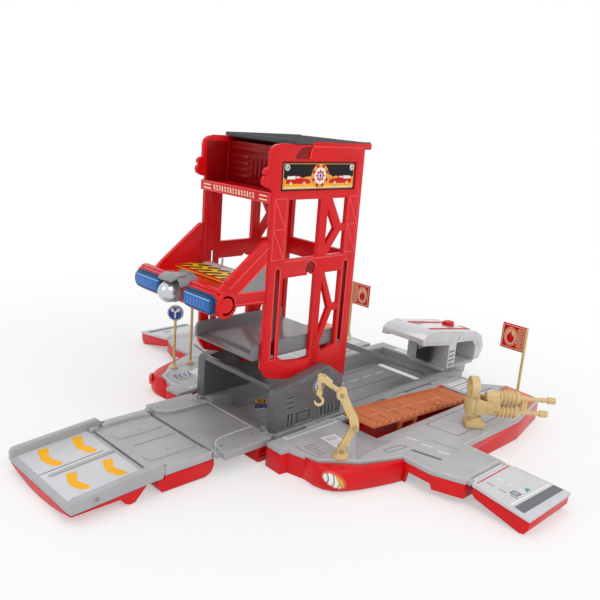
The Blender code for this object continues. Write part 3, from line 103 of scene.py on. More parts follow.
SHEEN = 0.22
COAT_ROUGHNESS = 0.12
CELL_BUMP = 0.0003
BAR_PITCH = 11.0
DASH_PITCH = 27.0
SHARP = math.radians(32)
SKIN_SHARP = math.radians(38)
SKIN_FLAT = math.radians(0.6)
SKIN_WELD = 2e-6
WELD = 1e-4
MATERIALS = {}


# Shader maths
def pair(operation):
    """An arithmetic operator and its reflected form."""
    return (
        lambda self, other: self.math(operation, self, other),
        lambda self, other: self.math(operation, other, self),
    )


class Value:
    """A shader socket with arithmetic, so that a pattern reads like a formula."""

    __add__, __radd__ = pair("ADD")
    __sub__, __rsub__ = pair("SUBTRACT")
    __mul__, __rmul__ = pair("MULTIPLY")
    __truediv__, __rtruediv__ = pair("DIVIDE")
    __mod__, __rmod__ = pair("FLOORED_MODULO")

    def __init__(self, nodes, socket):
        self.nodes = nodes
        self.socket = socket

    def __abs__(self):
        return self.math("ABSOLUTE", self)

    def math(self, operation, *items):
        made = self.nodes.node("ShaderNodeMath", dict(enumerate(items)), operation=operation)
        return Value(self.nodes, made.outputs[0])


class Nodes:
    """Adds nodes and links to one tree."""

    def __init__(self, tree):
        self.tree = tree

    def feed(self, slot, item):
        """Links an output to an input, or gives the input a value of its own."""
        item = getattr(item, "socket", item)
        if isinstance(item, bpy.types.NodeSocket):
            self.tree.links.new(item, slot)
        elif slot.type == "RGBA":
            slot.default_value = (*item[:3], 1.0)
        else:
            slot.default_value = item

    def node(self, kind, inputs=(), **settings):
        made = self.tree.nodes.new(kind)
        for key, value in settings.items():
            setattr(made, key, value)
        for key, value in dict(inputs).items():
            self.feed(made.inputs[key], value)
        return made


class Finish(Nodes):
    """Node tree of one material with its Principled shader."""

    def __init__(self, name):
        self.material = bpy.data.materials.new(name)
        self.material.use_nodes = True
        super().__init__(self.material.node_tree)
        self.shader = self.tree.nodes["Principled BSDF"]
        self.place = self.node("ShaderNodeTexCoord").outputs["Object"]
        MATERIALS[name] = self.material

    def axes(self):
        """Object coordinates in millimetres of the design frame."""
        split = self.node("ShaderNodeSeparateXYZ", {0: self.place})
        x, y, z = (Value(self, out) for out in split.outputs)
        return x * 1000.0 + CENTRE_X, y * 1000.0, z * 1000.0

    def noise(self, scale, detail=2.0, rough=0.5, stretch=(1.0, 1.0, 1.0)):
        spread = self.node("ShaderNodeMapping", {"Vector": self.place, "Scale": stretch})
        made = self.node("ShaderNodeTexNoise", {
            "Vector": spread.outputs[0], "Scale": scale, "Detail": detail, "Roughness": rough,
        })
        return Value(self, made.outputs[0])

    def ramp(self, value, low, high, out_low=0.0, out_high=1.0):
        made = self.node("ShaderNodeMapRange", {
            "Value": value, "From Min": low, "From Max": high, "To Min": out_low, "To Max": out_high,
        }, interpolation_type="SMOOTHSTEP")
        return Value(self, made.outputs[0])

    def within(self, value, low, high):
        """One where the value lies nearer to zero than low, and zero past high."""
        return self.ramp(abs(value), low, high, 1.0, 0.0)

    def mix(self, factor, a, b):
        return self.node("ShaderNodeMix", {0: factor, 6: a, 7: b}, data_type="RGBA").outputs[2]

    def drive(self, name, value):
        self.feed(self.shader.inputs[name], value)

    def bump(self, height, strength, distance=0.0002):
        made = self.node("ShaderNodeBump", {
            "Height": height, "Strength": strength, "Distance": distance,
        })
        self.drive("Normal", made.outputs[0])


def shade(colour, factor, lift=0.0):
    return tuple(min(1.0, (c + lift) * factor) for c in colour)


def plastic(name, colour, rough, coat=0.0, metal=0.0, grain=0.05, tint=0.05, flow=(1.0, 1.0, 1.0)):
    """Moulded plastic: faint colour clouds, flow lines, fine texture and small scuffs in the gloss."""
    finish = Finish(name)
    cloud = finish.noise(38.0, 3.0)
    lines = finish.noise(160.0, 2.0, 0.6, flow)
    fine = finish.noise(2600.0)
    scuff = finish.ramp(finish.noise(420.0, 4.0, 0.7, (1.0, 0.35, 1.0)), 0.60, 0.72)
    uneven = cloud * 0.7 + lines * 0.3
    base = finish.mix(finish.ramp(uneven, 0.3, 0.7), shade(colour, 1.0 - tint), shade(colour, 1.0 + tint))
    finish.drive("Base Color", finish.mix(scuff * 0.25, base, shade(colour, 1.05, 0.012)))
    finish.drive("Roughness", rough + (fine - 0.5) * 0.08 + scuff * 0.10 + (cloud - 0.5) * 0.06)
    finish.drive("Metallic", metal)
    finish.drive("Coat Weight", coat)
    finish.drive("Coat Roughness", COAT_ROUGHNESS)
    finish.drive("Specular IOR Level", 0.5 if metal else SHEEN)
    finish.bump(fine * 0.6 + lines * 0.4, grain)


def hazard_print(name, ground, mark):
    """Warning print: slanted bars in staggered columns on a bright ground."""
    finish = Finish(name)
    x, y, _ = finish.axes()
    lane = (x * 0.8 + y) / BAR_PITCH
    row = lane.math("FLOOR", lane)
    stripe = finish.within(lane % 1.0 - 0.5, 0.27, 0.31)
    dash = finish.within(((x - y * 0.8) / DASH_PITCH + row * 0.37) % 1.0 - 0.5, 0.39, 0.41)
    edge = finish.within(y, 35.6, 36.0) * finish.ramp(x, -27.0, -26.6)
    cloud, fine = finish.noise(60.0, 3.0), finish.noise(2200.0)
    base = finish.mix(finish.ramp(cloud, 0.3, 0.7), shade(ground, 0.94), shade(ground, 1.05))
    finish.drive("Base Color", finish.mix(stripe * dash * edge, base, mark))
    finish.drive("Roughness", 0.4 + (fine - 0.5) * 0.1)
    finish.bump(fine, 0.04)


def lens_finish(name, deep, bright, glow):
    """Tinted light cover: dark rim, clear blue field, a pale line along the top painted as a highlight, and
    a faint row of cells.
    """
    finish = Finish(name)
    _, y, z = finish.axes()
    side = abs(y) - LENS_Y
    field = finish.within(side, 14.6, 15.4) * finish.within(z - NOSE_Z, 4.2, 4.9)
    ribs = finish.ramp(abs((y / 1.8) % 1.0 - 0.5), 0.10, 0.40)
    row = finish.within(z - 132.2, 2.2, 2.8) * finish.within(side, 10.0, 11.0)
    cells = finish.ramp(abs((y / 3.6) % 1.0 - 0.5), 0.28, 0.34) * row
    # glow is a pale blue base colour, not a light: print colour for the cells, and a painted highlight for
    # this top line
    line = finish.within(z - 136.9, 0.35, 0.6) * field
    body = finish.mix(cells * 0.3, finish.mix(field, deep, bright), shade(glow, 0.6))
    finish.drive("Base Color", finish.mix(line * 0.6, body, glow))
    finish.drive("Roughness", 0.10 + ribs * 0.06)
    finish.drive("Coat Weight", 0.15)
    finish.drive("Specular IOR Level", SHEEN)
    finish.bump(ribs, 0.15, CELL_BUMP)


def lamp_finish(name, clear, amber):
    """Two-part headlamp: clear facets in front and an amber part behind them."""
    finish = Finish(name)
    x, _, z = finish.axes()
    facets = finish.ramp(abs((x / 2.6) % 1.0 - 0.5), 0.32, 0.42)
    front = finish.mix(facets, clear, shade(clear, 0.25))
    rear = finish.mix(finish.noise(240.0), shade(amber, 0.8), shade(amber, 1.15))
    finish.drive("Base Color", finish.mix(finish.ramp(x + z * 0.35, 10.6, 11.2), front, rear))
    finish.drive("Roughness", 0.12 + facets * 0.1)
    finish.drive("Coat Weight", 0.8)
    finish.bump(facets, 0.3, CELL_BUMP)


# Shapes in millimetres
def along(axis, u, v, w):
    return Vector({"X": (w, u, v), "Y": (u, w, v), "Z": (u, v, w)}[axis])


def basis(a, b, c, at=(0, 0, 0)):
    """Placement whose own axes point along a, b and c."""
    return Matrix.Translation(at) @ Matrix((a, b, c)).transposed().to_4x4()


def turned(at, angle, axis):
    return Matrix.Translation(at) @ Matrix.Rotation(angle, 4, axis)


def upright(direction):
    return Vector(UP).rotation_difference(Vector(direction).normalized()).to_matrix().to_4x4()


def polar(cx, cy, angle, r):
    return cx + r * math.cos(angle), cy + r * math.sin(angle)


def oval(cx, cy, a, b=None, count=36):
    """Circle of radius a, or an ellipse when b is given."""
    steps = [2 * math.pi * k / count for k in range(count)]
    return [(cx + a * math.sin(t), cy + (b or a) * math.cos(t)) for t in steps]


def rect(u0, u1, v0, v1):
    return [(u0, v0), (u1, v0), (u1, v1), (u0, v1)]


def pill(u0, u1, v0, v1, r, count=8):
    """Rounded rectangle."""
    middles = rect(u0 + r, u1 - r, v0 + r, v1 - r)
    return [polar(*middles[(quarter + 2) % 4], math.radians(90 * (quarter + k / count)), r)
            for quarter in range(4) for k in range(count + 1)]


def band(a, b, width):
    """Four corners of a straight line with a width."""
    p, q = Vector(a), Vector(b)
    run = (q - p).normalized()
    side = Vector((-run.y, run.x)) * width / 2
    return [tuple(p + side), tuple(q + side), tuple(q - side), tuple(p - side)]


class Shape:
    """Closed shells gathered in one mesh, each with its own finish."""

    def __init__(self, turn=None):
        self.bm = bmesh.new()
        self.finishes = []
        self.turn = turn or Matrix.Identity(4)

    def keep(self, before, finish, bevel=0.0, segments=2, edges=None):
        """Rounds the new shell, faces it outwards and puts it in its place."""
        if bevel > 0.0:
            fresh = [f for f in self.bm.faces if f not in before]
            chosen = edges or list({e for f in fresh for e in f.edges})
            bmesh.ops.bevel(
                self.bm, geom=chosen, offset=bevel, offset_type="OFFSET", segments=segments, profile=0.5,
                affect="EDGES", clamp_overlap=True, material=-1,
            )
        faces = [f for f in self.bm.faces if f not in before]
        bmesh.ops.recalc_face_normals(self.bm, faces=faces)
        if finish not in self.finishes:
            self.finishes.append(finish)
        for face in faces:
            face.material_index = self.finishes.index(finish)
        verts = list({v for f in faces for v in f.verts})
        bmesh.ops.transform(self.bm, matrix=self.turn, verts=verts)

    def box(self, x, y, z, finish, bevel=0.5, segments=2):
        before = set(self.bm.faces)
        spans = [tuple(sorted(span)) for span in (x, y, z)]
        middle = [(a + b) / 2 for a, b in spans]
        place = Matrix.Translation(middle) @ Matrix.Diagonal([b - a for a, b in spans]).to_4x4()
        bmesh.ops.create_cube(self.bm, size=1.0, matrix=place)
        self.keep(before, finish, bevel, segments)

    def prism(self, axis, outline, a, b, finish, bevel=0.0, segments=2):
        before = set(self.bm.faces)
        face = self.bm.faces.new([self.bm.verts.new(along(axis, u, v, a)) for u, v in outline])
        grown = bmesh.ops.extrude_face_region(self.bm, geom=[face])["geom"]
        moved = [g for g in grown if isinstance(g, bmesh.types.BMVert)]
        bmesh.ops.translate(self.bm, verts=moved, vec=along(axis, 0.0, 0.0, b - a))
        self.keep(before, finish, bevel, segments)

    def strips(self, axis, points, width, a, b, finish, bevel=LINE_ROUND, segments=1):
        """Raised line along a run of points."""
        for start, end in zip(points, points[1:]):
            self.prism(axis, band(start, end, width), a, b, finish, bevel, segments)

    def rod(self, p, q, r, finish, sides=32, bevel=0.0):
        before = set(self.bm.faces)
        p, q = Vector(p), Vector(q)
        bmesh.ops.create_cone(
            self.bm, cap_ends=True, segments=sides, radius1=r, radius2=r, depth=(q - p).length,
            matrix=Matrix.Translation((p + q) / 2) @ upright(q - p),
        )
        rims = [e for f in self.bm.faces if f not in before and len(f.verts) > 4 for e in f.edges]
        self.keep(before, finish, bevel, 2, rims)

    def ball(self, centre, radii, finish, rings):
        before = set(self.bm.faces)
        place = Matrix.Translation(centre) @ Matrix.Diagonal(radii).to_4x4()
        bmesh.ops.create_uvsphere(self.bm, u_segments=2 * rings, v_segments=rings, radius=1.0, matrix=place)
        self.keep(before, finish)

    def lathe(self, origin, direction, profile, finish, sides=40, ring=False):
        """Turned form from (distance along the direction, radius), solid or a closed ring."""
        before = set(self.bm.faces)
        origin, turn = Vector(origin), upright(direction)
        if not ring:
            profile = [(profile[0][0], 0.0), *profile, (profile[-1][0], 0.0)]
        verts = [self.bm.verts.new(origin + turn @ Vector((r, 0.0, w))) for w, r in profile]
        pairs = list(zip(verts, verts[1:] + verts[:1])) if ring else list(zip(verts, verts[1:]))
        edges = [self.bm.edges.new(pair) for pair in pairs]
        bmesh.ops.spin(
            self.bm, geom=verts + edges, cent=origin, axis=Vector(direction).normalized(),
            angle=2 * math.pi, steps=sides, use_merge=True, use_duplicate=False,
        )
        fresh = list({v for f in self.bm.faces if f not in before for v in f.verts})
        bmesh.ops.remove_doubles(self.bm, verts=fresh, dist=WELD)
        self.keep(before, finish)

    def tube(self, path, radii, finish, sides=16):
        """Round bar along a path, with one radius for each point."""
        before = set(self.bm.faces)
        points = [Vector(p) for p in path]
        last = len(points) - 1
        rings = []
        for k, (mid, r) in enumerate(zip(points, radii)):
            run = points[min(k + 1, last)] - points[max(k - 1, 0)]
            made = bmesh.ops.create_circle(
                self.bm, cap_ends=k in (0, last), cap_tris=False, segments=sides, radius=r,
                matrix=Matrix.Translation(mid) @ upright(run),
            )["verts"]
            rings.append(list({e for v in made for e in v.link_edges}))
        for a, b in zip(rings, rings[1:]):
            bmesh.ops.bridge_loops(self.bm, edges=a + b)
        self.keep(before, finish)

    def screw(self, centre, direction, r):
        """Pan head screw with a cross recess, drawn as a black cross on the head in painted shade."""
        run = Vector(direction).normalized()
        self.lathe(centre, run, [(-0.4, r), (0.25, r), (0.7, r * 0.8), (0.9, r * 0.45)], "steel", 24)
        side = run.orthogonal().normalized()
        kept = self.turn
        self.turn = kept @ basis(side, run.cross(side), run, centre)
        # black cross on the head: painted shade in place of the recess
        for u, v in ((0.55, 0.13), (0.13, 0.55)):
            self.box((-r * u, r * u), (-r * v, r * v), (0.55, 0.96), "ink_black", 0.0)
        self.turn = kept


def add(name, data):
    """New object in the scene."""
    item = bpy.data.objects.new(name, data)
    bpy.context.scene.collection.objects.link(item)
    return item


def finish_piece(name, bm, finishes, body, replaces, sharp):
    """Turns a mesh into a piece that rides on a body of the part."""
    mesh = bpy.data.meshes.new(name)
    bm.to_mesh(mesh)
    bm.free()
    mesh.shade_smooth()
    mesh.set_sharp_from_angle(angle=sharp)
    for finish in finishes:
        mesh.materials.append(MATERIALS[finish])
    piece = add(name, mesh)
    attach(piece, body)
    if replaces:
        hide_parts(*replaces)


def emit(name, shape, body, replaces=()):
    """Takes a shape from millimetres of the design frame to metres of the part."""
    bmesh.ops.translate(shape.bm, verts=shape.bm.verts[:], vec=(-CENTRE_X, 0.0, 0.0))
    bmesh.ops.scale(shape.bm, verts=shape.bm.verts[:], vec=(MM, MM, MM))
    finish_piece(name, shape.bm, shape.finishes, body, replaces, SHARP)


def dress(node_name, finish, width):
    """Copy of a CAD node with its flat faces joined and its sharp edges rounded."""
    bm = bmesh.new()
    bm.from_mesh(frame["nodes"][node_name].data)
    bmesh.ops.remove_doubles(bm, verts=bm.verts[:], dist=SKIN_WELD)
    bmesh.ops.dissolve_limit(
        bm, angle_limit=SKIN_FLAT, verts=bm.verts[:], edges=bm.edges[:], delimit={"NORMAL"},
    )
    sharp = [e for e in bm.edges if len(e.link_faces) == 2 and e.calc_face_angle(0.0) > SHARP]
    bmesh.ops.bevel(
        bm, geom=[e for e in sharp if e.calc_length() > width * 1.2], offset=width, segments=2,
        profile=0.5, affect="EDGES", clamp_overlap=True, material=-1,
    )
    bmesh.ops.recalc_face_normals(bm, faces=bm.faces[:])
    record = frame["record"]
    body = next(b for b, names in record["behaviour"]["bodies"].items() if node_name in names)
    finish_piece(node_name + "_skin", bm, (finish,), body, (node_name,), SKIN_SHARP)


# Finishes
INKS = {
    "black": (0.003, 0.003, 0.004), "white": (0.82, 0.82, 0.82), "bone": (0.82, 0.68, 0.50),
    "yellow": (0.88, 0.43, 0.006), "gold": (0.78, 0.36, 0.06), "green": (0.01, 0.36, 0.28),
    "sand": (0.80, 0.50, 0.31), "violet": (0.10, 0.08, 0.28),
}


def make_finishes(look):
    plastic("red_gloss", look.red, 0.3, coat=0.12)
    # lighter copy of the body red on raised lines, rims and bezels: painted highlight
    plastic("red_painted_highlight", shade(look.red, 1.15, 0.06), 0.32, coat=0.2)
    # darker copy of the body red: painted shade for slot linings, recess fills, top room linings, the top
    # back panel and bumper strips
    plastic("red_painted_shade", shade(look.red, 0.36), 0.36, coat=0.1)
    plastic("red_print", shade(look.red, 0.9), 0.42)
    plastic("light_gray", look.gray, 0.38, coat=0.15, grain=0.06, tint=0.06, flow=(1.0, 0.3, 1.0))
    plastic("lane_gray", shade(look.gray, 0.82), 0.36, coat=0.15, grain=0.06, tint=0.06,
            flow=(0.25, 1.0, 1.0))
    plastic("ramp_gray", shade(look.gray, 0.96), 0.4, coat=0.1, grain=0.06)
    # paler copy of the deck gray for the up-facing ramp floor and the flaps: painted light
    plastic("floor_gray_painted_light", shade(look.gray, 1.42), 0.42, grain=0.06)
    plastic("pale_gray", shade(look.gray, 1.4), 0.4, coat=0.1)
    plastic("mid_gray", look.dark, 0.3, coat=0.35, tint=0.08)
    # lighter copy of the plate gray on raised lines, a ridge and the washer: painted highlight
    plastic("mid_painted_highlight", shade(look.dark, 1.7), 0.32, coat=0.3, tint=0.06)
    plastic("platform_gray", shade(look.dark, 1.45), 0.3, coat=0.3, tint=0.08)
    plastic("dark_gray", shade(look.dark, 0.4), 0.34, coat=0.3, tint=0.1)
    plastic("roof_gray", shade(look.dark, 0.55), 0.5, grain=0.12, tint=0.1)
    plastic("saddle_gray", shade(look.dark, 1.8), 0.3, coat=0.4)
    plastic("navy", shade(look.blue, 0.3), 0.25, coat=0.3)
    plastic("silver", (0.60, 0.61, 0.635), 0.22, metal=0.75, tint=0.04, grain=0.03)
    plastic("pearl", (0.58, 0.585, 0.60), 0.26, coat=0.5, metal=0.2, grain=0.04)
    plastic("pearl_dark", (0.17, 0.175, 0.19), 0.3, coat=0.3, metal=0.2)
    plastic("steel", (0.55, 0.55, 0.57), 0.28, metal=1.0, flow=(0.1, 4.0, 4.0), grain=0.03)
    plastic("cream", look.cream, 0.36, coat=0.15, tint=0.07, grain=0.08)
    plastic("cream_shade", shade(look.cream, 0.62), 0.45, tint=0.06)
    plastic("orange", look.orange, 0.42, tint=0.08, grain=0.1)
    plastic("orange_pale", shade(look.orange, 1.25, 0.06), 0.45, tint=0.06)
    plastic("tyre", (0.022, 0.022, 0.024), 0.62, grain=0.12)
    plastic("ink_gray", (0.15, 0.155, 0.17), 0.45)
    plastic("ink_blue", (0.012, 0.07, 0.30), 0.3, coat=0.4)
    for name, tone in INKS.items():
        plastic("ink_" + name, tone, 0.4)
    hazard_print("hazard", (0.90, 0.62, 0.02), (0.004, 0.004, 0.004))
    lens_finish("blue_lens", shade(look.blue, 0.35), shade(look.blue, 1.05), (0.30, 0.58, 0.90))
    lamp_finish("headlamp", (0.80, 0.82, 0.78), (0.70, 0.33, 0.03))


SKINS = {
    "red_gloss": (
        "front_bumper", "tower_wall_near", "tower_wall_far", "rear_frame", "shelf", "nose", "hood_shell",
        "ramp_shell", "near_shell", "far_shell", "near_flap_shell", "far_flap_shell", "launcher_trigger",
    ),
    # the top back panel takes the darker red as painted shade under the roof
    "red_painted_shade": ("top_back_panel",),
    "lane_gray": ("chassis_tray", "grille_panel"),
    "light_gray": ("hood_panel", "near_deck", "far_deck", "launcher_base"),
    "ramp_gray": ("ramp_panel",),
    "floor_gray_painted_light": ("near_flap", "far_flap"),
    "mid_gray": ("side_plate_near", "side_plate_far", "cross_bar", "rear_ramp"),
    "platform_gray": ("lift_platform",),
    "dark_gray": ("launcher_plunger",),
    "roof_gray": ("roof_plate",),
    "steel": ("hinge_rod_front", "hinge_rod_near", "hinge_rod_far"),
    "pearl": ("launcher_body",),
    "orange": ("bridge_plate", "bridge_prop"),
    "hazard": ("hazard_plate",),
    "cream": ("crane_base", "cannon_base"),
}


# Tower
SLOT_X = (10.5, 86.7)
SLOT_HALF = 2.0
SLOT_Y = (38.1, 41.45)
PILLARS = ((3.4, 15.4), (84.2, 95.6))
TRUSS_Z = (158.6, 181.6, 204.6)
HOLLOW_AT = (45.5, 149.2)
HOLLOW_LOW = 145.2
EMBLEM_AT = (48.6, 221.2)
LABEL_X = (10.7, 86.5)
LABEL_Z = 212
RECESS_EDGE = (
    (20.4, -10.2), (22.8, -6.2), (26.4, -3.2), (31, -1.7), (37.2, -1.7), (35.8, -4.2), (35, -7.6),
    (35, -10.2),
)
# Width, height, finish and points
WALL_LINES = (
    (1.1, 0.8, "red_gloss", ((22, 61.6), (7, 66), (1.6, 73.6), (1.6, 216))),
    (0.9, 0.7, "red_painted_highlight", ((17, 156.4), (83, 156.4))),
    (0.9, 0.7, "red_gloss", ((15, 144.9), (40, 144.9))),
    (0.9, 0.7, "red_gloss", ((51, 144.9), (82, 144.9))),
    (0.9, 1.2, "red_painted_highlight", ((38.6, 242.9), (96.4, 242.9))),
    (0.8, 0.8, "red_gloss", ((8, 209), (89.2, 209))),
    (0.8, 0.8, "red_gloss", ((8, 232.6), (89.2, 232.6))),
    (0.8, 0.8, "red_gloss", ((7.4, 209), (7.4, 232.6))),
    (0.8, 0.8, "red_gloss", ((89.8, 209), (89.8, 232.6))),
)
# Film step, finish and outline of the generic vehicle on the label
VEHICLE = (
    (5, "red_print", ((0, 1.6), (0, 4.6), (1.2, 5.4), (8, 5.4), (8.6, 7.6), (14.2, 7.6), (15.6, 5.6),
                      (23, 5), (25.4, 3.8), (25.4, 1.6))),
    (6, "ink_white", ((0.8, 5), (1.6, 7.2), (9.4, 7.4), (9.4, 5))),
    (6, "ink_white", ((10.2, 5.8), (10.4, 6.9), (13.6, 6.9), (14.2, 5.8))),
)


def wall_lines(tag, s, lift):
    """Thin raised lines of the truss, window, slot and roof edges on one tower wall, many in lighter red as
    painted highlight, with dark red slot linings and recess fills as painted shade.
    """
    shape = Shape()

    def line(width, height, finish, points):
        shape.strips("Y", points, width, s * (WALL_OUT - LINE_ROOT), s * (WALL_OUT + lift * height), finish)

    low, middle, high = TRUSS_Z
    for x0, x1 in PILLARS:
        border = rect(x0, x1, low, high)
        line(0.7, 0.7, "red_painted_highlight", [*border, border[0]])
        line(0.7, 0.7, "red_painted_highlight", [(x0, middle), (x1, middle)])
        for z0, z1 in ((low, middle), (middle, high)):
            line(0.8, 0.8, "red_painted_highlight", [(x0 + 0.4, z1 - 0.6), (x1 - 0.4, z0 + 0.8)])
            line(0.7, 0.6, "red_gloss", [(x0 + 3.4, z1 - 0.6), (x1 - 0.2, z0 + 7.4)])
            line(0.7, 0.6, "red_gloss", [(x0 + 0.2, z1 - 7.4), (x1 - 3.6, z0 + 0.8)])
    for row in WALL_LINES:
        line(*row)
    for x in SLOT_X:
        left, right = x - SLOT_HALF, x + SLOT_HALF
        # dark red linings on the slot sides and top: painted shade in the deep slots
        for x0, x1, z0, z1 in ((left - 0.1, left + 0.14, 80, 150.6), (right - 0.14, right + 0.1, 80, 150.6),
                               (left, right, 150.75, 151.1)):
            shape.box((x0, x1), [s * y for y in SLOT_Y], (z0, z1), "red_painted_shade", 0)
        rim = pill(x - 3, x + 3, 78, 152.4, 2.8)
        line(0.8, 1.1, "red_painted_highlight", [*rim, rim[0]])
    arch = oval(*HOLLOW_AT, 5.9, count=28)
    line(0.8, 0.9, "red_painted_highlight", [p for p in arch[21:] + arch[:8] if p[1] > 145])
    line(0.8, 1.2, "red_painted_highlight", [(x + 1.6, TOWER_TOP + z) for x, z in RECESS_EDGE[4:]])
    # dark red fills in the top recess and the round hollow: painted shade in these recesses
    hollow = [p for p in oval(*HOLLOW_AT, 5.2, count=32) if p[1] > HOLLOW_LOW]
    for outline in ([(x, TOWER_TOP + z) for x, z in RECESS_EDGE], hollow):
        shape.prism("Y", outline, s * (RECESS_Y - 0.1), s * (RECESS_Y + 0.15), "red_painted_shade")
    shape.lathe((-5.4, s * 41.2, 218.4), (0, s, 0), [(0, 2.4), (0.4, 2.4), (0.5, 1.9)], "red_gloss", 24)
    emit("wall_lines_" + tag, shape, "tower")


def wall_sticker(tag, s):
    """Black label with a gold landscape, two vehicle outlines, a ring emblem and two screws."""
    label = Shape()
    label.box((8.6, 88.6), (s * (RECESS_Y - 0.1), s * (RECESS_Y + 0.25)), (210.1, 231.4), "ink_black", 0.12)

    def film(points, step, finish):
        top = RECESS_Y + LABEL_LIFT + LABEL_STEP * step
        label.prism("Y", points, s * (RECESS_Y + 0.15), s * top, finish)

    left, right = LABEL_X
    ground = [(left, LABEL_Z), (right, LABEL_Z)]
    hills = [(right - (right - left) * k / 30, 219.4 + 0.7 * math.sin(k * 1.9) + 0.9 * math.cos(k * 0.8))
             for k in range(31)]
    hills = [(x, z + 6.8 * math.exp(-((x - EMBLEM_AT[0]) / 11) ** 2)) for x, z in hills]
    puffs = [(right - (right - left) * k / 48, 214.6 + 1.2 * abs(math.sin(k * 0.66))) for k in range(49)]
    film(pill(10, 87.2, 211.3, 230.4, 0.8, 4), 0, "ink_gold")
    film(pill(10.6, 86.6, 211.9, 229.9, 0.6, 4), 1, "ink_black")
    film(ground + hills, 2, "ink_gold")
    film(ground + puffs, 3, "ink_yellow")
    film(rect(left, right, LABEL_Z, 213), 4, "ink_bone")
    for x0, way in ((13, 1), (84.6, -1)):
        for step, finish, outline in VEHICLE:
            film([(x0 + way * u, 213.8 + v) for u, v in outline], step, finish)
        for x in (x0 + way * 5, x0 + way * 19):
            film(oval(x, 215.2, 1.9, count=20), 6, "ink_gold")
            film(oval(x, 215.2, 0.8, count=16), 7, "ink_white")
    for r, count, step, finish in ((9.2, 44, 8, "ink_gold"), (6.3, 40, 10, "ink_white"),
                                   (2.2, 24, 12, "ink_white")):
        film(oval(*EMBLEM_AT, r, count=count), step, finish)
    for spot in oval(*EMBLEM_AT, 7.6, count=16)[1::2]:
        film(oval(*spot, 1.5, count=16), 9, "red_print")
    tips, notches = (oval(*EMBLEM_AT, r, count=16) for r in (5.4, 3))
    film([(tips, notches)[k % 2][k] for k in range(16)], 11, "red_print")
    film([(47.9, 219.6), (49.3, 219.6), (49.8, 221.6), (48.9, 223.2), (47.6, 221.8)], 13, "ink_blue")
    for x in (13.6, 83.8):
        washer = [(0, 2.5), (0.7, 2.5), (1, 2.2), (0.8, 1.5)]
        label.lathe((x, s * (RECESS_Y + 0.1), 227.4), (0, s, 0), washer, "silver", 28)
        label.screw((x, s * (RECESS_Y + 0.4), 227.4), (0, s, 0), 1.4)
    emit("wall_sticker_" + tag, label, "tower")


def top_room(lift):
    """Rails on the wall tops, dark red linings of painted shade inside the top room, and a frame of painted
    highlight lines and generic print on the shelf's front.
    """
    shape = Shape()
    for s in (-1, 1):
        shape.box((5.5, 19), (s * 38.3, s * 41.2), (243.5, 244.6), "red_gloss")
        # dark red linings on the room's inner wall faces: painted shade under the roof
        shape.box((-0.2, 20.2), (s * 37.2, s * 38.2), (208.6, 240), "red_painted_shade", 0.3)
    for y, z in (((-41, 41), (208.6, 209.4)), ((-41, 41), (201.6, 202.3)),
                 ((-41.2, -40.5), (201.6, 209.4)), ((40.5, 41.2), (201.6, 209.4))):
        shape.box((-2.4 - lift, -2.2), y, z, "red_painted_highlight", 0.12)
    emit("top_room_trim", shape, "tower")

    film = Shape()
    for y in ((28, 37.6), (-38.6, -29.6)):
        for z in (206.5, 203.7):
            film.box((-2.52, -2.3), y, (z - 0.55, z + 0.55), "ink_bone", 0.08)

    def slant(y, u, v, z0, z1, x, finish):
        film.prism("X", [(y - u, z0), (y + v, z0), (y + u, z1), (y - v, z1)], x, -2.3, finish)

    for k in range(15):
        y = 23.6 - 3.35 * k
        slant(y, 1.2, 0.4, 203.2, 207.2, -2.52, "ink_bone")
        if k % 3:
            slant(y, 0.5, 0.1, 204.6, 205.8, -2.6, "red_print")
    emit("shelf_print", film, "tower")


def roof_ribs():
    shape = Shape()
    for k in range(11):
        y = -35 + 7 * k
        shape.box((26, 100), (y - 0.5, y + 0.5), (246.7, 247.35), "roof_gray", 0.2)
    for s in (-1, 1):
        shape.box((20.5, 104.8), (s * 40.3, s * 41.4), (246.8, 247.5), "roof_gray", 0.2)
    shape.box((19.9, 22), (-41, 41), (244.2, 247.5), "roof_gray", 0.4)
    emit("roof_ribs", shape, "tower")
    rim = Shape()
    for x, y in (((38, 105.4), (-41.3, -41.7)), ((38, 105.4), (41.3, 41.7)), ((105, 105.4), (-41.7, 41.7))):
        rim.box(x, y, (242.2, 246.3), "red_gloss", 0.12)
    emit("roof_rim", rim, "tower")


# Nose with the light bar
CHEEK_EDGE = ((-1, 173.6), (-3, 173), (-38.6, 145.2), (-44.2, 139.6))
BAR_END = ((0, 8.6), (1.6, 8.8), (2.4, 8.4), (2.8, 7.4), (2.4, 7), (2.4, 5.8), (2.9, 5.4), (3.1, 4.6))


def nose_trim():
    shape = Shape()
    cheek_line = [(x + 3, z - 4) for x, z in CHEEK_EDGE[1:3]]
    for s in (-1, 1):
        shape.lathe((NOSE_X, s * 49.6, NOSE_Z), (0, s, 0), BAR_END, "red_gloss", 48)
        shape.strips("Y", CHEEK_EDGE, 2.2, s * 37.6, s * 42.1, "red_gloss", 0.35, 2)
        for line in (cheek_line, ((-40, 129.2), (-2, 127.8))):
            shape.strips("Y", line, 0.8, s * 41.3, s * 42, "red_painted_highlight", 0.15)
        for low, high, finish, outline in (
            (41.3, 41.9, "red_painted_highlight", ((-1.6, 157.6), (-28.4, 136.4), (-1.4, 135.8))),
            (41.4, 42.15, "saddle_gray", ((-2.5, 155.4), (-25.4, 137.4), (-2.3, 136.9))),
        ):
            shape.prism("Y", outline, s * low, s * high, finish, 0.15, 1)
    emit("nose_trim", shape, "tower")


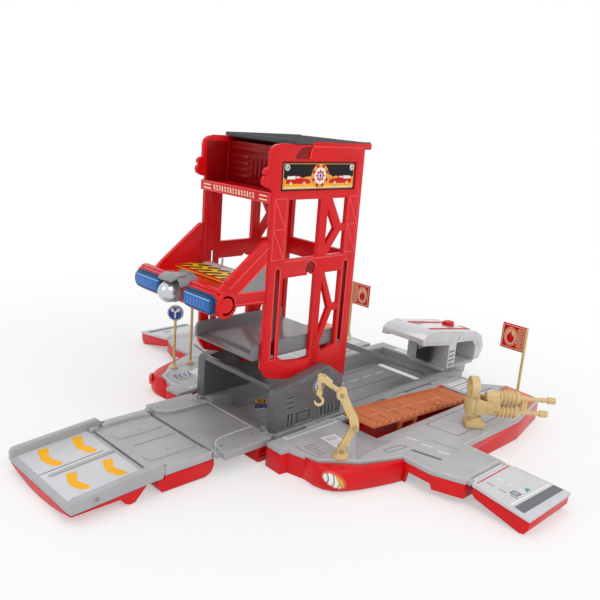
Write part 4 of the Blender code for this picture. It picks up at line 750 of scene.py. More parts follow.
def light_bar():
    def pad(shape, s, y, z, r, x, finish, bevel, segments):
        shape.prism("X", pill(*sorted((s * y[0], s * y[1])), *z, r), *x, finish, bevel, segments)

    housing = Shape()
    for s in (-1, 1):
        pad(housing, s, (11.5, 52), (124.6, 141.4), 7.6, (-53.4, -49.6), "red_gloss", 0.8, 3)
        pad(housing, s, (12.6, 50.9), (125.6, 140.4), 6.8, (-54.6, -52), "navy", 0.5, 2)
    housing.box((-53.2, -49.6), (-12.5, 12.5), (126, 140), "red_gloss", 0.8)
    emit("light_bar_housing", housing, "tower", ("light_bar_bezel",))
    for tag, s in SIDES:
        glass = Shape()
        pad(glass, s, (14.2, 49.4), (127, 139), 5.6, (-57, -52.4), "blue_lens", 1.4, 4)
        pad(glass, s, (17, 46.6), (128.8, 137.2), 3.2, (-57.5, -56), "blue_lens", 0.5, 3)
        emit("light_glass_" + tag, glass, "tower", ("lens_" + tag,))
    ball = Shape()
    ball.ball((BALL_X, 0, NOSE_Z), (8, 8, 8), "silver", 28)
    ball.lathe((-52.6, 0, NOSE_Z), (-1, 0, 0), [(0, 8.4), (2, 8.6), (3, 8.2)], "saddle_gray", 44)
    emit("light_ball", ball, "tower", ("turret_ball",))
    saddle = Shape()
    steps = [math.pi * k / 16 for k in range(17)]
    arch = [(a * math.cos(t), 138.6 + b * math.sin(t))
            for a, b, way in ((13, 8, 1), (11.2, 6.2, -1)) for t in steps[::way]]
    saddle.prism("X", arch, -57.5, -41, "saddle_gray", 0.4)
    saddle.prism("Y", [(-63, 141.8), (-62, 144.2), (-57, 146.4), (-50, 146.4), (-50, 144.6), (-57, 143.6)],
                 -8.6, 8.6, "saddle_gray", 0.6, 3)
    saddle.prism("Y", [(-46, 143), (-46, 147.2), (-41, 146.6), (-37.6, 141.4), (-37.6, 140.8)],
                 -6, 6, "saddle_gray", 0.6)
    emit("light_saddle", saddle, "tower", ("ball_saddle",))


def hazard_trim():
    shape = Shape()
    shape.box((-28.4, -26.8), (-37.4, 37.4), (142.6, 143.6), "red_gloss", 0.3)
    for s in (-1, 1):
        shape.box((-27, -7), (s * 36.4, s * 37.5), (142.7, 143.6), "red_gloss", 0.3)
    shape.box((-4.6, 3.6), (-32.4, 32.4), (142.8, 143.4), "pale_gray", 0.2)
    shape.rod((-2, 10, 142.8), (-2, 10, 151), 0.9, "silver", sides=16, bevel=0.3)
    emit("hazard_trim", shape, "tower")


# Front ramp chain
GRILLE_RIDGE = ((-40.4, 40.6), (-38.6, 38), (-36, 34.8), (-32.4, 32.4), (-27.4, 31), (-13, 30), (4.2, 30.4))
ARROW = ((-1, 15.6), (6.2, 13.3), (1, 0.4), (4.6, -13.4), (1.6, -15.4), (-3, -12.4), (-5.6, -1), (-4, 6))
ARROW_PLACES = ((-142, 24, 1), (-115, 24, 1), (-142, -18, 0.87), (-115, -19.5, 0.87))
# Lower and upper height over the tray's floor, finish and outline
TRAY_FILMS = (
    (-0.1, 0.2, "ink_violet", ((54.2, 22.7), (63.2, 16.4), (70, 24), (61, 30.5))),
    (-0.1, 0.2, "ink_yellow", ((61, 30.5), (70, 24), (77.1, 32), (67.6, 38.3))),
    (0, 0.25, "ink_black", ((65.6, 29.4), (70.4, 26.2), (74.4, 31.4), (68.2, 35.4))),
    (0, 0.3, "ink_yellow", ((67.4, 30.2), (70.2, 28.4), (72.4, 31.2), (69, 33.4))),
)


def ramp_trim():
    shape = Shape()
    for cx, cy, size in ARROW_PLACES:
        height = HINGE_Z + 0.5 + (cx - RAMP_EDGE) * math.tan(RAMP_SLOPE)
        shape.turn = turned((cx, cy, height), -RAMP_SLOPE, "Y")
        shape.prism("Z", [(u, v * size) for u, v in ARROW], -0.1, 0.3, "ink_yellow", 0.1, 1)
    shape.turn = turned((RAMP_EDGE, 0, HINGE_Z + 0.5), -RAMP_SLOPE, "Y")
    # paler sheet on the ramp floor: painted light on the up-facing floor
    shape.box((-57.6, -3), (-41.6, 41.6), (-0.4, 0.12), "floor_gray_painted_light", 0.1)
    shape.box((-57.6, -8), (5.9, 6.9), (-0.1, 0.16), "ink_gray", 0.05)
    shape.turn = Matrix.Identity(4)
    for s in (-1, 1):
        head = [(0, 1.7), (0.5, 1.6), (0.7, 0.9)]
        shape.lathe((-143, s * 47.6, 14.4), (0, s, 0), head, "saddle_gray", 20)
    emit("ramp_arrows", shape, "ramp_panel")


def lane_trim():
    """Pin marks on the lips and lane lines on the two middle panels and the tray."""
    top = DECK_Z - 0.1
    grille, hood, tray = Shape(), Shape(), Shape()
    for s in (-1, 1):
        for x, y in ((-37.1, 42.7), (-3.6, 39.5), (-37.4, 36.2)):
            grille.lathe((x, s * y, top), UP, [(0, 1), (0.2, 1), (0.25, 0.6)], "ink_gray", 16)
        ridge = [(x, s * y) for x, y in GRILLE_RIDGE]
        # raised ridge whose pale gray colour is a painted highlight
        grille.strips("Z", ridge, 1.1, DECK_Z - 0.2, DECK_Z + 0.35, "pale_gray", 0.15)
        hood.lathe((-69, s * 19.6, 17.3), UP, [(0, 1.8), (0.2, 1.8), (0.3, 1.2)], "lane_gray", 20)
        hood.lathe((-88, s * 43.4, top), UP, [(0, 1.4), (0.2, 1.4), (0.3, 0.8)], "ink_gray", 18)
        tray.box((16, 250), (s * 43, s * 44), (DECK_Z - 0.2, DECK_Z + 0.25), "ink_gray", 0.15)
    hood.box((-86, -50), (-0.4, 0.4), (16.4, 16.6), "ink_gray", 0.05)
    emit("grille_lane_trim", grille, "grille_panel")
    emit("hood_lane_trim", hood, "hood_panel")

    line = (TRAY_Z - 0.2, TRAY_Z + 0.15)
    for x in range(52, 221, 21):
        tray.box((x, x + 12), (17.4, 18.6), line, "ink_white", 0.1)
    for y in (2, 34):
        tray.box((46, 236), (y - 0.5, y + 0.5), line, "ink_gray", 0.1)
    for low, high, finish, outline in TRAY_FILMS:
        tray.prism("Z", outline, TRAY_Z + low, TRAY_Z + high, finish)
    tray.prism("Z", rect(262, 269, -30, 30), top, DECK_Z + 0.2, "ink_white")
    emit("tray_prints", tray, "chassis")


def bumper_trim():
    shape = Shape()
    for s in (-1, 1):
        # darker red strips on the bumper sides: painted shade
        for z in (4, 8):
            shape.box((-7.9, 7), (s * 51.8, s * 52.3), (z, z + 1.2), "red_painted_shade", 0.1)
    shape.box((-8.25, -7.4), (-13, 13), (3, 8), "ink_white", 0.2)
    shape.box((-8.5, -7.9), (-11.5, 11.5), (3.8, 7.2), "silver", 0.15)
    emit("bumper_trim", shape, "chassis")


# Side plates beside the tower
PLATE_FRAMES = (
    (31, 49.2, 21.8, 32.6), (20.6, 28.8, 36.8, 39.8), (20.6, 28.8, 41.1, 44.1), (20.6, 28.8, 45.4, 48.4),
)
HUB = ((0, 5.5), (1.1, 5.5), (1.5, 5), (1.7, 4.2), (1.5, 3.2), (2.2, 2.4), (2.2, 0.8))


def plate_trim(tag, s, lift):
    shape = Shape()
    face = PLATE_OUT

    # raised lines of the plate in the lighter gray: painted highlight
    def line(width, a, b):
        shape.strips("Y", (a, b), width, s * (face - LINE_ROOT), s * (face + lift), "mid_painted_highlight")

    for span in PLATE_FRAMES:
        corners = rect(*span)
        for a, b in zip(corners, corners[1:] + corners[:1]):
            line(0.6, a, b)
    shape.box((34.4, 45.6), (s * (face - 1.6), s * (face - 0.4)), (23.6, 30.6), "mid_gray")
    for x in (21.6, 25.4, 29.2):
        line(0.8, (x, 21.2), (x, 33.6))
    line(0.8, (21.2, 34), (29.6, 34))
    for k in range(5):
        line(0.8, (59.8 + 4.4 * k, 21.4), (59.8 + 4.4 * k, 30.4))
    line(0.9, (12, 21), (83, 21))
    low = s * (face - 0.2)
    shape.strips("Y", ((35.2, 57.9), (40.4, 58.9)), 1.4, low, s * (face + 0.5), "mid_painted_highlight", 0.3, 2)
    shape.strips("Y", ((16, 54.6), (63.8, 63.6)), 0.7, low, s * (face + lift), "mid_gray")
    washer = [(0, 7.6), (0.5, 7.6), (0.9, 7), (0.6, 6.2)]
    shape.lathe((PIVOT_X, s * (face - 0.1), PIVOT_Z), (0, s, 0), washer, "mid_painted_highlight", 44)
    emit("plate_trim_" + tag, shape, "chassis")
    hub = Shape()
    out = face + 0.3
    hub.lathe((PIVOT_X, s * out, PIVOT_Z), (0, s, 0), HUB, "silver")
    hub.rod((PIVOT_X, s * 38.2, PIVOT_Z), (PIVOT_X, s * out, PIVOT_Z), 3.2, "silver")
    for k in range(3):
        x, z = polar(PIVOT_X, PIVOT_Z, 2 * math.pi * k / 3 + 0.5, 3.9)
        hub.rod((x, s * (out + 1.2), z), (x, s * (out + 1.9), z), 0.7, "pearl_dark", sides=14)
    hub.box((PIVOT_X - 2.8, PIVOT_X + 2.8), (s * (out + 1.2), s * (out + 2.3)),
            (PIVOT_Z - 0.45, PIVOT_Z + 0.45), "ink_gray", 0.1)
    emit("hub_" + tag, hub, "chassis", ("pivot_pin_" + tag,))


# Side panels
class Print(Shape):
    """Thin films printed on a flat deck, mirrored to its side."""

    def __init__(self, s, z, turn=None):
        super().__init__(turn)
        self.s = s
        self.z = z

    def film(self, finish, step, *points):
        plan = [(x, self.s * y) for x, y in points]
        self.prism("Z", plan, self.z - FILM_ROOT, self.z + FILM_LIFT + FILM_STEP * step, finish)

    def line(self, finish, step, width, *points):
        for a, b in zip(points, points[1:]):
            self.film(finish, step, *band(a, b, width))

    def row(self, finish, step, width, count, a, b, shift, shift_b=None):
        """Lines in a row, each moved on from the one before."""
        for k in range(count):
            ends = ((a, shift), (b, shift_b or shift))
            self.line(finish, step, width, *[(x + k * dx, y + k * dy) for (x, y), (dx, dy) in ends])


# Finish, step, width and points
DECK_LINES = (
    ("pale_gray", 0, 0.7, (-2.6, 73.6), (3.6, 74.4), (9, 101.4), (17.6, 107.6), (31, 121), (50.6, 129.4),
     (66.4, 136.2)),
    ("pale_gray", 0, 0.7, (66, 138.4), (65.6, 163.6), (73.6, 186), (121, 186), (122.8, 153.6), (208, 152.6),
     (265.6, 140)),
    ("ink_gray", 0, 0.6, (9, 75.7), (7.6, 84), (9.6, 99.6), (17, 105)),
    ("ink_gray", 0, 0.7, (60.4, 121.2), (78.8, 123.9), (80.7, 128.8), (60.1, 126.4), (60.4, 121.2)),
    ("ink_gray", 0, 0.7, (128, 112), (196, 111), (214, 124), (196, 140), (132, 142), (128, 112)),
    ("ink_blue", 0, 1.2, (222, 96.6), (254, 99.4)),
    ("ink_white", 0, 0.7, (222, 99.6), (252, 102.4)),
)
# Finish, step and corners
DECK_FILMS = (
    ("ink_white", 0, (35.4, 76.9), (49.7, 79.7), (45.9, 100.4), (33, 96.3)),
    ("pale_gray", 1, (37.2, 79.2), (47.6, 81.2), (46.4, 87.6), (36.4, 85.4)),
    ("lane_gray", 0, (65.5, 89), (70.6, 93), (70.8, 107.6), (80, 115.5), (45.4, 117.1), (30.8, 119.7),
     (45.8, 105)),
    ("ink_gray", 0, (77.6, 134), (80.8, 134.6), (86.4, 158.4), (83.2, 158.8)),
    ("lane_gray", 0, (104.4, 134), (107.2, 134), (112.4, 158.4), (109.6, 158.4)),
)
# Finish, step, width, count, ends of the first line and shift of each end
DECK_ROWS = (
    ("ink_gray", 0, 0.8, 6, (13, 81.6), (23.2, 82), (-0.12, 3.1), (-0.7, 3.1)),
    ("lane_gray", 0, 0.8, 6, (24.6, 82), (29.4, 82.3), (-0.7, 3.1)),
    ("lane_gray", 1, 0.5, 4, (35.6, 88.6), (44.6, 90.6), (0, 2.4)),
    ("ink_white", 0, 1.2, 3, (94, 118), (96.4, 127), (0.6, 15)),
    ("lane_gray", 0, 1, 5, (140, 118), (146, 134), (12, 0)),
)


def deck_prints(tag, s):
    deck = Print(s, DECK_Z)
    for row in DECK_LINES:
        deck.line(*row)
    for row in DECK_FILMS:
        deck.film(*row)
    for row in DECK_ROWS:
        deck.row(*row)
    deck.box((9.5, 70), (s * 59.6, s * 65.4), (DECK_Z - 0.2, DECK_Z + 0.7), "pale_gray", 0.3)
    deck.box((13, 66), (s * 61.6, s * 63.4), (DECK_Z + 0.5, DECK_Z + 0.78), "lane_gray", 0.1)
    for y in (68, 77, 86):
        deck.film("ink_white", 0, *rect(223, 250, y, y + 5.4))
        deck.film("pale_gray", 1, *rect(224.2, 248.8, y + 1.1, y + 4.3))
    if s > 0:
        deck.row("ink_white", 0, 1, 6, (74, 70), (74, 100), (26, 0))
        deck.line("ink_white", 0, 1, (74, 100), (204, 100))
        deck.row("ink_blue", 1, 1.3, 4, (14, 88), (17.4, 97), (5, 0))
    emit(tag + "_deck_prints", deck, tag + "_panel")

    rim = Shape()
    for low, high, finish, bevel, segments, outline in (
        (19.3, 20.6, "orange", 0.4, 2, ((258, 106), (270.6, 105), (267.4, 140.6), (231, 148.6), (236, 138))),
        (20.4, 20.9, "orange_pale", 0.2, 1, ((257, 112), (266, 111), (263.6, 135), (243, 139.6))),
    ):
        rim.prism("Z", [(x, s * y) for x, y in outline], low, high, finish, bevel, segments)
    emit(tag + "_corner_rim", rim, tag + "_panel")

    run = Vector((0.64, s * 0.768, 0))
    out = Vector((-0.768, s * 0.64, 0))
    tilt = math.radians(-26)
    length = run * math.cos(tilt) + Vector(UP) * math.sin(tilt)
    lamp = Shape(basis(length, out.cross(length) * s, out, (6.6, s * 120.2, 10.6)))
    lamp.ball((0, 0, 0), (9.2, 4.8, 2), "headlamp", 20)
    lamp.turn = lamp.turn @ Matrix.Diagonal((1, 0.53, 1, 1))
    bezel = [(0, 9), (2, 9.3), (2.5, 9.7), (2, 10.2), (0, 10.4)]
    lamp.lathe((0, 0, -1.6), UP, bezel, "red_painted_highlight", 48, ring=True)
    emit(tag + "_headlamp", lamp, tag + "_panel")


def flap_prints(tag, s):
    """Prints on a side panel's hinged end, laid on its slope."""
    flap = Print(s, 0, turned((0, s * FLAP_ROOT, DECK_Z), -s * FLAP_SLOPE, "X"))
    flap.line("red_print", 0, 0.9, (76, 2.4), (121, 2.4))
    flap.line("ink_white", 0, 1.3, (76, 30.6), (127, 33.4))
    flap.line("pale_gray", 1, 0.9, (76.4, 5), (74, 44.6), (131, 44.9), (123.6, 5))
    flap.row("lane_gray", 0, 1.6, 3, (84, 6), (84.8, 12), (1, 9))
    flap.row("ink_white", 0, 1.2, 3, (96, 6), (97, 11), (1.4, 9))
    flap.film("ink_gray", 0, (75.6, 33.4), (129, 35.6), (130, 43), (75, 41.4))
    flap.film("ink_gray", 0, (88, 22), (94, 22.4), (95, 28.6), (88.4, 28))
    flap.film("ramp_gray", 1, (89.2, 23.2), (93, 23.4), (93.6, 27.4), (89.6, 27))
    flap.film("ink_green", 1, (104.4, 25.4), (106.9, 28.7), (99.9, 29.2))
    emit(tag + "_flap_prints", flap, tag + "_flap")


TYRE = (
    (0, 3.3), (0, 17.6), (0.8, 18.8), (2.6, 19), (6.6, 19), (8.4, 18.4), (9, 17), (9, 13.4),
    (8.4, 12.9), (7.2, 12.7),
)
WHEEL_RIM = (
    (0, 3.3), (0, 12.8), (1.4, 12.8), (2.2, 12.2), (1.4, 10.8), (1, 6), (3.4, 5), (4.4, 4.4), (4.4, 3.4),
)


def wheels(tag, s):
    for end, x in (("front", 35), ("rear", 232)):
        shape = Shape()
        y = s * 80.6
        shape.lathe((x, y, 10.4), DOWN, TYRE, "tyre", 64)
        for k in range(40):
            shape.turn = turned((x, y, 6), 2 * math.pi * k / 40, "Z")
            shape.box((18.5, 19), (-0.75, 0.75), (-2.6, 2.6), "tyre", 0)
        shape.turn = Matrix.Identity(4)
        shape.lathe((x, y, 5.4), DOWN, WHEEL_RIM, "pearl", 56)
        for k in range(6):
            spot = polar(x, y, math.pi * k / 3, 8.4)
            shape.rod((*spot, 4.9), (*spot, 3.9), 1.5, "pearl_dark", sides=16, bevel=0.2)
        node_name = tag + "_wheel_" + end
        emit(node_name + "_dress", shape, node_name, (node_name,))


# Accessories
# Half width, bevel, bevel segments and outline of the bars across the crane's arm
LINK_BARS = (
    (2, 0.5, 2, ((-2.6, 0.6), (2.6, -0.6), (10.6, 18.6), (5.4, 20.2))),
    (2.25, 0.2, 1, ((-0.4, 4.2), (1.2, 3.6), (7, 16.6), (5.2, 17.2))),
)
ARM_BARS = (
    (4, 0.9, 3, ((-5.4, 6.6), (0.8, 7.4), (-8.2, 26), (-14.4, 24.6))),
    (4.3, 0.2, 1, ((-4.2, 10), (-2.2, 10.6), (-9.6, 23.4), (-11.6, 22.8))),
    (1.7, 0.5, 2, ((-13, 28.2), (-10.4, 22), (-21.8, 30.6), (-24.2, 35))),
    (2.3, 0.3, 2, ((-15, 28.6), (-13.6, 25.8), (-21, 31.2), (-22.6, 33.6))),
    (3.6, 0.5, 2, ((-19.6, 29.2), (-19, 33.6), (-24.6, 37.6), (-25, 32.8))),
)
# Inner and outer width and outline of the cheeks on both sides of it
ARM_CHEEKS = (
    (2.6, 4.4, ((-2.6, -2.6), (2.2, -3), (3.2, -0.6), (2.8, 5.2), (-1.2, 12), (-5.6, 10))),
    (1.9, 3.6, ((-24, 33.2), (-24.4, 37.8), (-28.6, 38.6), (-30.4, 37), (-30.2, 34.6), (-28, 33.6))),
)
GUN_RIB = ((0, 4.5), (0.5, 5.5), (1, 5.9), (1.7, 5.9), (2.2, 5.5), (2.7, 4.5))
NOZZLE = (
    (-12, 1.9), (-11.6, 2.4), (-10.4, 2.4), (-10, 1.9), (-7, 2), (-6.4, 3), (-0.6, 2.9), (0, 2.5),
    (-0.2, 1.5), (-4, 1.4),
)
FLAME = (
    (15.6, 18.4), (17, 15), (17.8, 15.8), (19.4, 11.6), (18.6, 8.2), (16.6, 6.4), (14, 6.4), (12, 8.4),
    (11.6, 11.6), (13.2, 15), (13.9, 13),
)
FLAG_SIZE = 25
RING_AT = (15.4, 12.4)
FORK = (
    (-0.7, -4.6), (0.7, -4.6), (0.7, 0.6), (2.6, 2.2), (3.6, 1), (4.2, 4.6), (0.7, 4.4), (1.7, 3.2),
    (0, 1.9), (-1.7, 3.2), (-0.7, 4.4), (-4.2, 4.6), (-3.6, 1), (-2.6, 2.2), (-0.7, 0.6),
)


def accessory(at, offset):
    """Shape turned like the crane and the cannon, from a point over the accessory's foot."""
    return Shape(turned(at, DIAGONAL, "Z") @ Matrix.Translation(offset))


def across(shape, x, z, half, r, finish, sides, bevel=0.0):
    """Pin or knuckle along the y axis."""
    shape.rod((x, -half, z), (x, half, z), r, finish, sides, bevel)


def bolts(shape, x, z, half, r):
    """Bolt heads on both ends of a pin."""
    for s in (-1, 1):
        head = [(0, r), (0.5, r * 0.95), (0.8, r * 0.55)]
        shape.lathe((x, s * half, z), (0, s, 0), head, "cream_shade", 24)


def louvres(shape, x, y, low, height, pitch, finish, bevel):
    """Four level ridges, one over the other."""
    for z in (low + pitch * k for k in range(4)):
        shape.box(x, y, (z, z + height), finish, bevel)


def bars(shape, rows):
    for half, bevel, segments, outline in rows:
        shape.prism("Y", outline, -half, half, "cream", bevel, segments)


def crane():
    link = accessory(CRANE_AT, (0, 0, 6.4))
    for x, z in ((0, 0), (8, 19.2)):
        across(link, x, z, 2.3, 2.9, "cream", 32, 0.4)
        across(link, x, z, 4.3, 1.2, "cream_shade", 20)
        bolts(link, x, z, 4.4, 2.1)
    bars(link, LINK_BARS)
    emit("crane_link_form", link, "crane_link", ("crane_link",))

    arm = accessory(CRANE_AT, (8, 0, 25.6))
    bars(arm, ARM_BARS)
    across(arm, -11.5, 25, 4.8, 4.1, "cream", 36, 0.6)
    bolts(arm, -11.5, 25, 4.8, 1.9)
    for s in (-1, 1):
        for inner, outer, outline in ARM_CHEEKS:
            arm.prism("Y", outline, s * inner, s * outer, "cream", 0.4)
    emit("crane_arm_form", arm, "crane_arm", ("crane_arm",))

    hook = accessory(CRANE_AT, (-20, 0, 61.6))
    across(hook, 0, 0, 1.6, 2, "cream", 24, 0.3)
    across(hook, 0, 0, 3.4, 0.9, "cream_shade", 16)
    hook.rod((0, 0, -1), (0, 0, -11), 1.1, "cream", sides=20)
    hook.lathe((0, 0, -9.6), DOWN, [(0, 1.1), (0.8, 2.2), (3.6, 2.3), (4.6, 1.2)], "cream", 24)
    path = [(0, 0, -13.6)]
    for k in range(15):
        t = math.radians(62 - 17.5 * k)
        path.append((3 * math.cos(t), 0, -18.2 + 3.2 * math.sin(t)))
    hook.tube(path, [1.1] * 12 + [1, 0.9, 0.7, 0.4], "cream")
    emit("crane_hook_form", hook, "crane_hook", ("crane_hook",))
    foot = accessory(CRANE_AT, (0, 0, 0))
    foot.lathe((0, 0, 0), UP, [(0, 5.6), (0.6, 5.9), (1.6, 5.7), (2.4, 5), (3.2, 3.4)], "cream")
    emit("crane_foot_ring", foot, "crane_turn")


def cannon():
    head = accessory(CANNON_AT, (0, 0, 9.3))
    head.box((-8, 1), (-7.2, 7.2), (0, 20), "cream", 1.6, 3)
    head.box((-9, -6.8), (-5, 5), (3, 15), "cream", 0.8)
    louvres(head, (-9.4, -8.6), (-4, 4), 4, 1.4, 2.8, "cream", 0.3)
    for s in (-1, 1):
        head.prism("Y", [(-2, 3), (12.6, 5), (13.4, 9), (12.6, 14), (-2, 18)], s * 7, s * 8.8, "cream", 0.5)
        head.lathe((10, s * 8.6, 9.5), (0, s, 0), [(0, 3.2), (0.7, 3.1), (1, 2), (0.6, 1.6)], "cream", 28)
        head.box((-6, 0), (s * 7, s * 8), (4, 16), "cream", 0.4)
    head.lathe((0, 0, 24.4), (1, 0, 0), [
        (-7.4, 7.4), (-7.4, 9.8), (-6.9, 10.2), (-0.9, 10.2), (-0.4, 9.8), (-0.4, 7.4),
    ], "cream", 48, ring=True)
    emit("cannon_head_form", head, "cannon_turn", ("cannon_head",))

    guns = accessory(CANNON_AT, (10, 0, 18.8))
    guns.box((-3, 9), (-6.4, 6.4), (-3, 9), "cream", 1.2, 3)
    across(guns, 0, 0, 8.6, 1.5, "cream_shade", 20)
    ribs = [(8 + 3.4 * k + u, r) for k in range(5) for u, r in GUN_RIB]
    for z, reach in ((8.4, 56), (-4, 51)):
        profile = [(-3.4, 3.4), (-2.6, 4.4), (7, 4.6), *ribs, (25.4, 4.2), (26.6, 2.6), (27.4, 1.9)]
        guns.lathe((0, 0, z), (1, 0, 0), profile + [(reach + u, r) for u, r in NOZZLE], "cream", 36)
    guns.box((28, 33), (-1.2, 1.2), (-3, 8), "cream")
    emit("cannon_guns_form", guns, "cannon_barrels", ("cannon_barrels",))


def on_pole(x, y, top):
    shape = Shape()
    shape.lathe((x, y, FOOT_Z), UP, [(0, 3.6), (1.2, 3.5), (2.2, 2.4), (3.4, 1.6), (3.6, 1.4)], "cream", 28)
    shape.rod((x, y, FOOT_Z + 2), (x, y, top), 1.35, "cream", sides=20, bevel=0.3)
    return shape


def flag(tag, x, y, top, way):
    """Stiff flag with a gold border, a ring round a plain drop, and a row of checks."""
    shape = on_pole(x, y, top)
    foot = top - FLAG_SIZE
    shape.box((x - 0.7, x + 0.7), (y, y + way * FLAG_SIZE), (foot, top - 0.4), "red_print", 0.3)
    checks = [(3.3 + 2.8 * column + 1.4 * (row % 2), 2.6 + 1.5 * row)
              for row in range(13) for column in range(2)]
    films = [
        (0, "ink_sand", pill(1.8, 24, 1.2, 23.6, 0.6, 3)),
        (1, "red_print", pill(2.6, 23.2, 2, 22.8, 0.4, 3)),
        (2, "ink_sand", oval(*RING_AT, 6.9, 9.2)), (3, "red_print", oval(*RING_AT, 6.2, 8.4)),
        (4, "ink_sand", oval(*RING_AT, 5.6, 7.8)), (5, "red_print", FLAME),
        *[(2, "ink_sand", rect(u, u + 1.4, v, v + 1.5)) for u, v in checks],
    ]
    for s in (-1, 1):
        for step, finish, points in films:
            outline = [(y + way * u, foot + v) for u, v in points]
            shape.prism("X", outline, x + s * 0.6, x + s * (0.76 + FILM_STEP * step), finish)
    emit(tag + "_form", shape, tag, (tag,))


def sign(tag, x, y, top):
    """Round blue sign with a plain fork mark."""
    shape = on_pole(x, y, top)
    facing = Vector((-0.70, -0.71, 0)).normalized()
    shape.turn = basis(Vector(UP).cross(facing), UP, facing, (x, y, top))
    shape.lathe((0, 0, 0), UP, [(-1.4, 6.9), (-0.9, 7.5), (1.2, 7.5), (1.6, 7.1)], "pearl_dark", 44)
    rim = [(1.2, 7), (1.9, 7), (2, 6.7), (1.9, 6.3), (1.2, 6.3)]
    shape.lathe((0, 0, 0), UP, rim, "silver", 44, ring=True)
    shape.prism("Z", oval(0, 0, 6.4, count=44), 1.4, 1.75, "ink_blue")
    shape.prism("Z", FORK, 1.6, 1.9, "ink_white")
    emit(tag + "_form", shape, tag, (tag,))


def bridge_trim():
    shape = Shape(turned((212, 0, 18), math.radians(4.3), "Y"))
    y0, y1 = -101.7, -69.3
    for k in range(16):
        x = -136 + 8.4 * k
        for y, way in ((y0, -1), (y1, 1)):
            shape.box((x, x + 3.2), (y - way * 0.4, y + way * 0.3), (0.4, 2.2), "orange_pale", 0.2)
            shape.box((x, x + 5.6), (y - way * 1.2, y + way * 0.2), (2.8, 3.1), "orange_pale", 0.1)
    for x in range(-128, -17, 22):
        shape.box((x, x + 14), (-86.2, -84.8), (1.4, 1.65), "orange_pale", 0.1)
    for x in (-134, -14):
        shape.box((x, x + 1.6), (y0 + 3, y1 - 3), (1.3, 2), "orange", 0.2)
    shape.lathe((-52, y0 + 2, 4.2), UP, [(0, 3.3), (0.8, 3.2), (1.4, 2.4), (1.6, 1)], "orange", 28)
    emit("bridge_trim", shape, "bridge")


# Launcher
ROOF_RUN = ((226, 68.3), (264, 62.1), (298, 56.6), (309, 50.8))
# Height over the housing's side and outline
LAUNCHER_RIDGES = (
    (0.7, ((212, 58), (226, 56), (262, 52.5), (262, 55), (228, 60.5), (214, 62.5))),
    (0.6, ((266, 52), (292, 49.5), (303, 44), (309, 36), (312, 40), (307, 47.5), (296, 53.5), (266, 57.5))),
)


def launcher_trim():
    shape = Shape()
    for y in (-38, -12):
        for (x0, z0), (x1, z1) in zip(ROOF_RUN, ROOF_RUN[1:]):
            stripe = [(x0, z0 - 0.3), (x1, z1 - 0.3), (x1, z1 + 0.4), (x0, z0 + 0.4)]
            shape.prism("Y", stripe, y - 1.8, y + 1.8, "red_print")
    for s, y in ((-1, -48), (1, 3)):
        for height, outline in LAUNCHER_RIDGES:
            shape.prism("Y", outline, y - 0.2 * s, y + height * s, "pearl", 0.3, 1)
        louvres(shape, (252, 261), (y - 0.2 * s, y + 0.5 * s), 27, 1.6, 4.6, "pearl_dark", 0.15)
    louvres(shape, (314.4, 315.3), (-42, -3), 33.5, 1.4, 3.2, "pearl_dark", 0.2)
    shape.prism("Y", [(301, 55.7), (308.5, 51.7), (308.8, 52.2), (301.3, 56.2)], -33, -24, "ink_gold")
    shape.box((206, 249), (-41.5, -41), (52, 57), "pearl_dark", 0.1)
    emit("launcher_trim", shape, "launcher")


# Stage
def white_rays(nodes):
    """One for rays from the eye, a mirror or through glass, zero for light on the object."""
    ray = nodes.node("ShaderNodeLightPath")
    seen = Value(nodes, ray.outputs["Is Camera Ray"])
    for name in ("Is Glossy Ray", "Is Transmission Ray"):
        seen = seen.math("MAXIMUM", seen, Value(nodes, ray.outputs[name]))
    return seen


def make_floor(tone):
    """Floor of a pale colour that turns white away from the object."""
    bm = bmesh.new()
    bmesh.ops.create_grid(bm, x_segments=1, y_segments=1, size=FLOOR_HALF)
    bmesh.ops.translate(bm, verts=bm.verts[:], vec=(0.0, 0.0, -FLOOR_DROP))
    mesh = bpy.data.meshes.new("floor")
    bm.to_mesh(mesh)
    bm.free()
    finish = Finish("floor_paper")
    finish.drive("Base Color", finish.mix(finish.noise(6.0), (tone,) * 3, (tone * 1.01,) * 3))
    finish.drive("Roughness", 0.9)
    x, y, _ = finish.axes()
    reach = x * x + y * y
    paper = finish.ramp(reach.math("SQRT", reach), *FLOOR_FADE, FLOOR_WHITE, 1.0)
    white = paper * white_rays(finish)
    glow = finish.node("ShaderNodeEmission", {"Color": (1.0, 1.0, 1.0), "Strength": 1.0})
    blend = finish.node("ShaderNodeMixShader", {0: white, 1: finish.shader.outputs[0], 2: glow.outputs[0]})
    finish.feed(finish.tree.nodes["Material Output"].inputs["Surface"], blend.outputs[0])
    mesh.materials.append(finish.material)
    add("floor", mesh)


def make_lights(look):
    world = bpy.data.worlds.new("studio")
    bpy.context.scene.world = world
    world.use_nodes = True
    studio = Nodes(world.node_tree)
    back = studio.tree.nodes["Background"]
    studio.feed(back.inputs["Color"], (1.0, 1.0, 1.0))
    studio.feed(back.inputs["Strength"], white_rays(studio) * (1.0 - look.fill) + look.fill)
    for name, place, power, size in (
        ("key", (-0.25, -1.4, 1.45), look.key, 0.9),
        ("side", (-1.4, 0.2, 1.0), look.key * 0.35, 1.0),
        ("top", (0.1, 0.3, 1.9), look.key * 0.5, 1.2),
    ):
        lamp = bpy.data.lights.new(name, "AREA")
        lamp.energy = power
        lamp.size = size
        item = add(name, lamp)
        item.location = place
        aim = Vector((0.0, 0.0, 0.08)) - Vector(place)
        item.rotation_euler = aim.to_track_quat("-Z", "Y").to_euler()


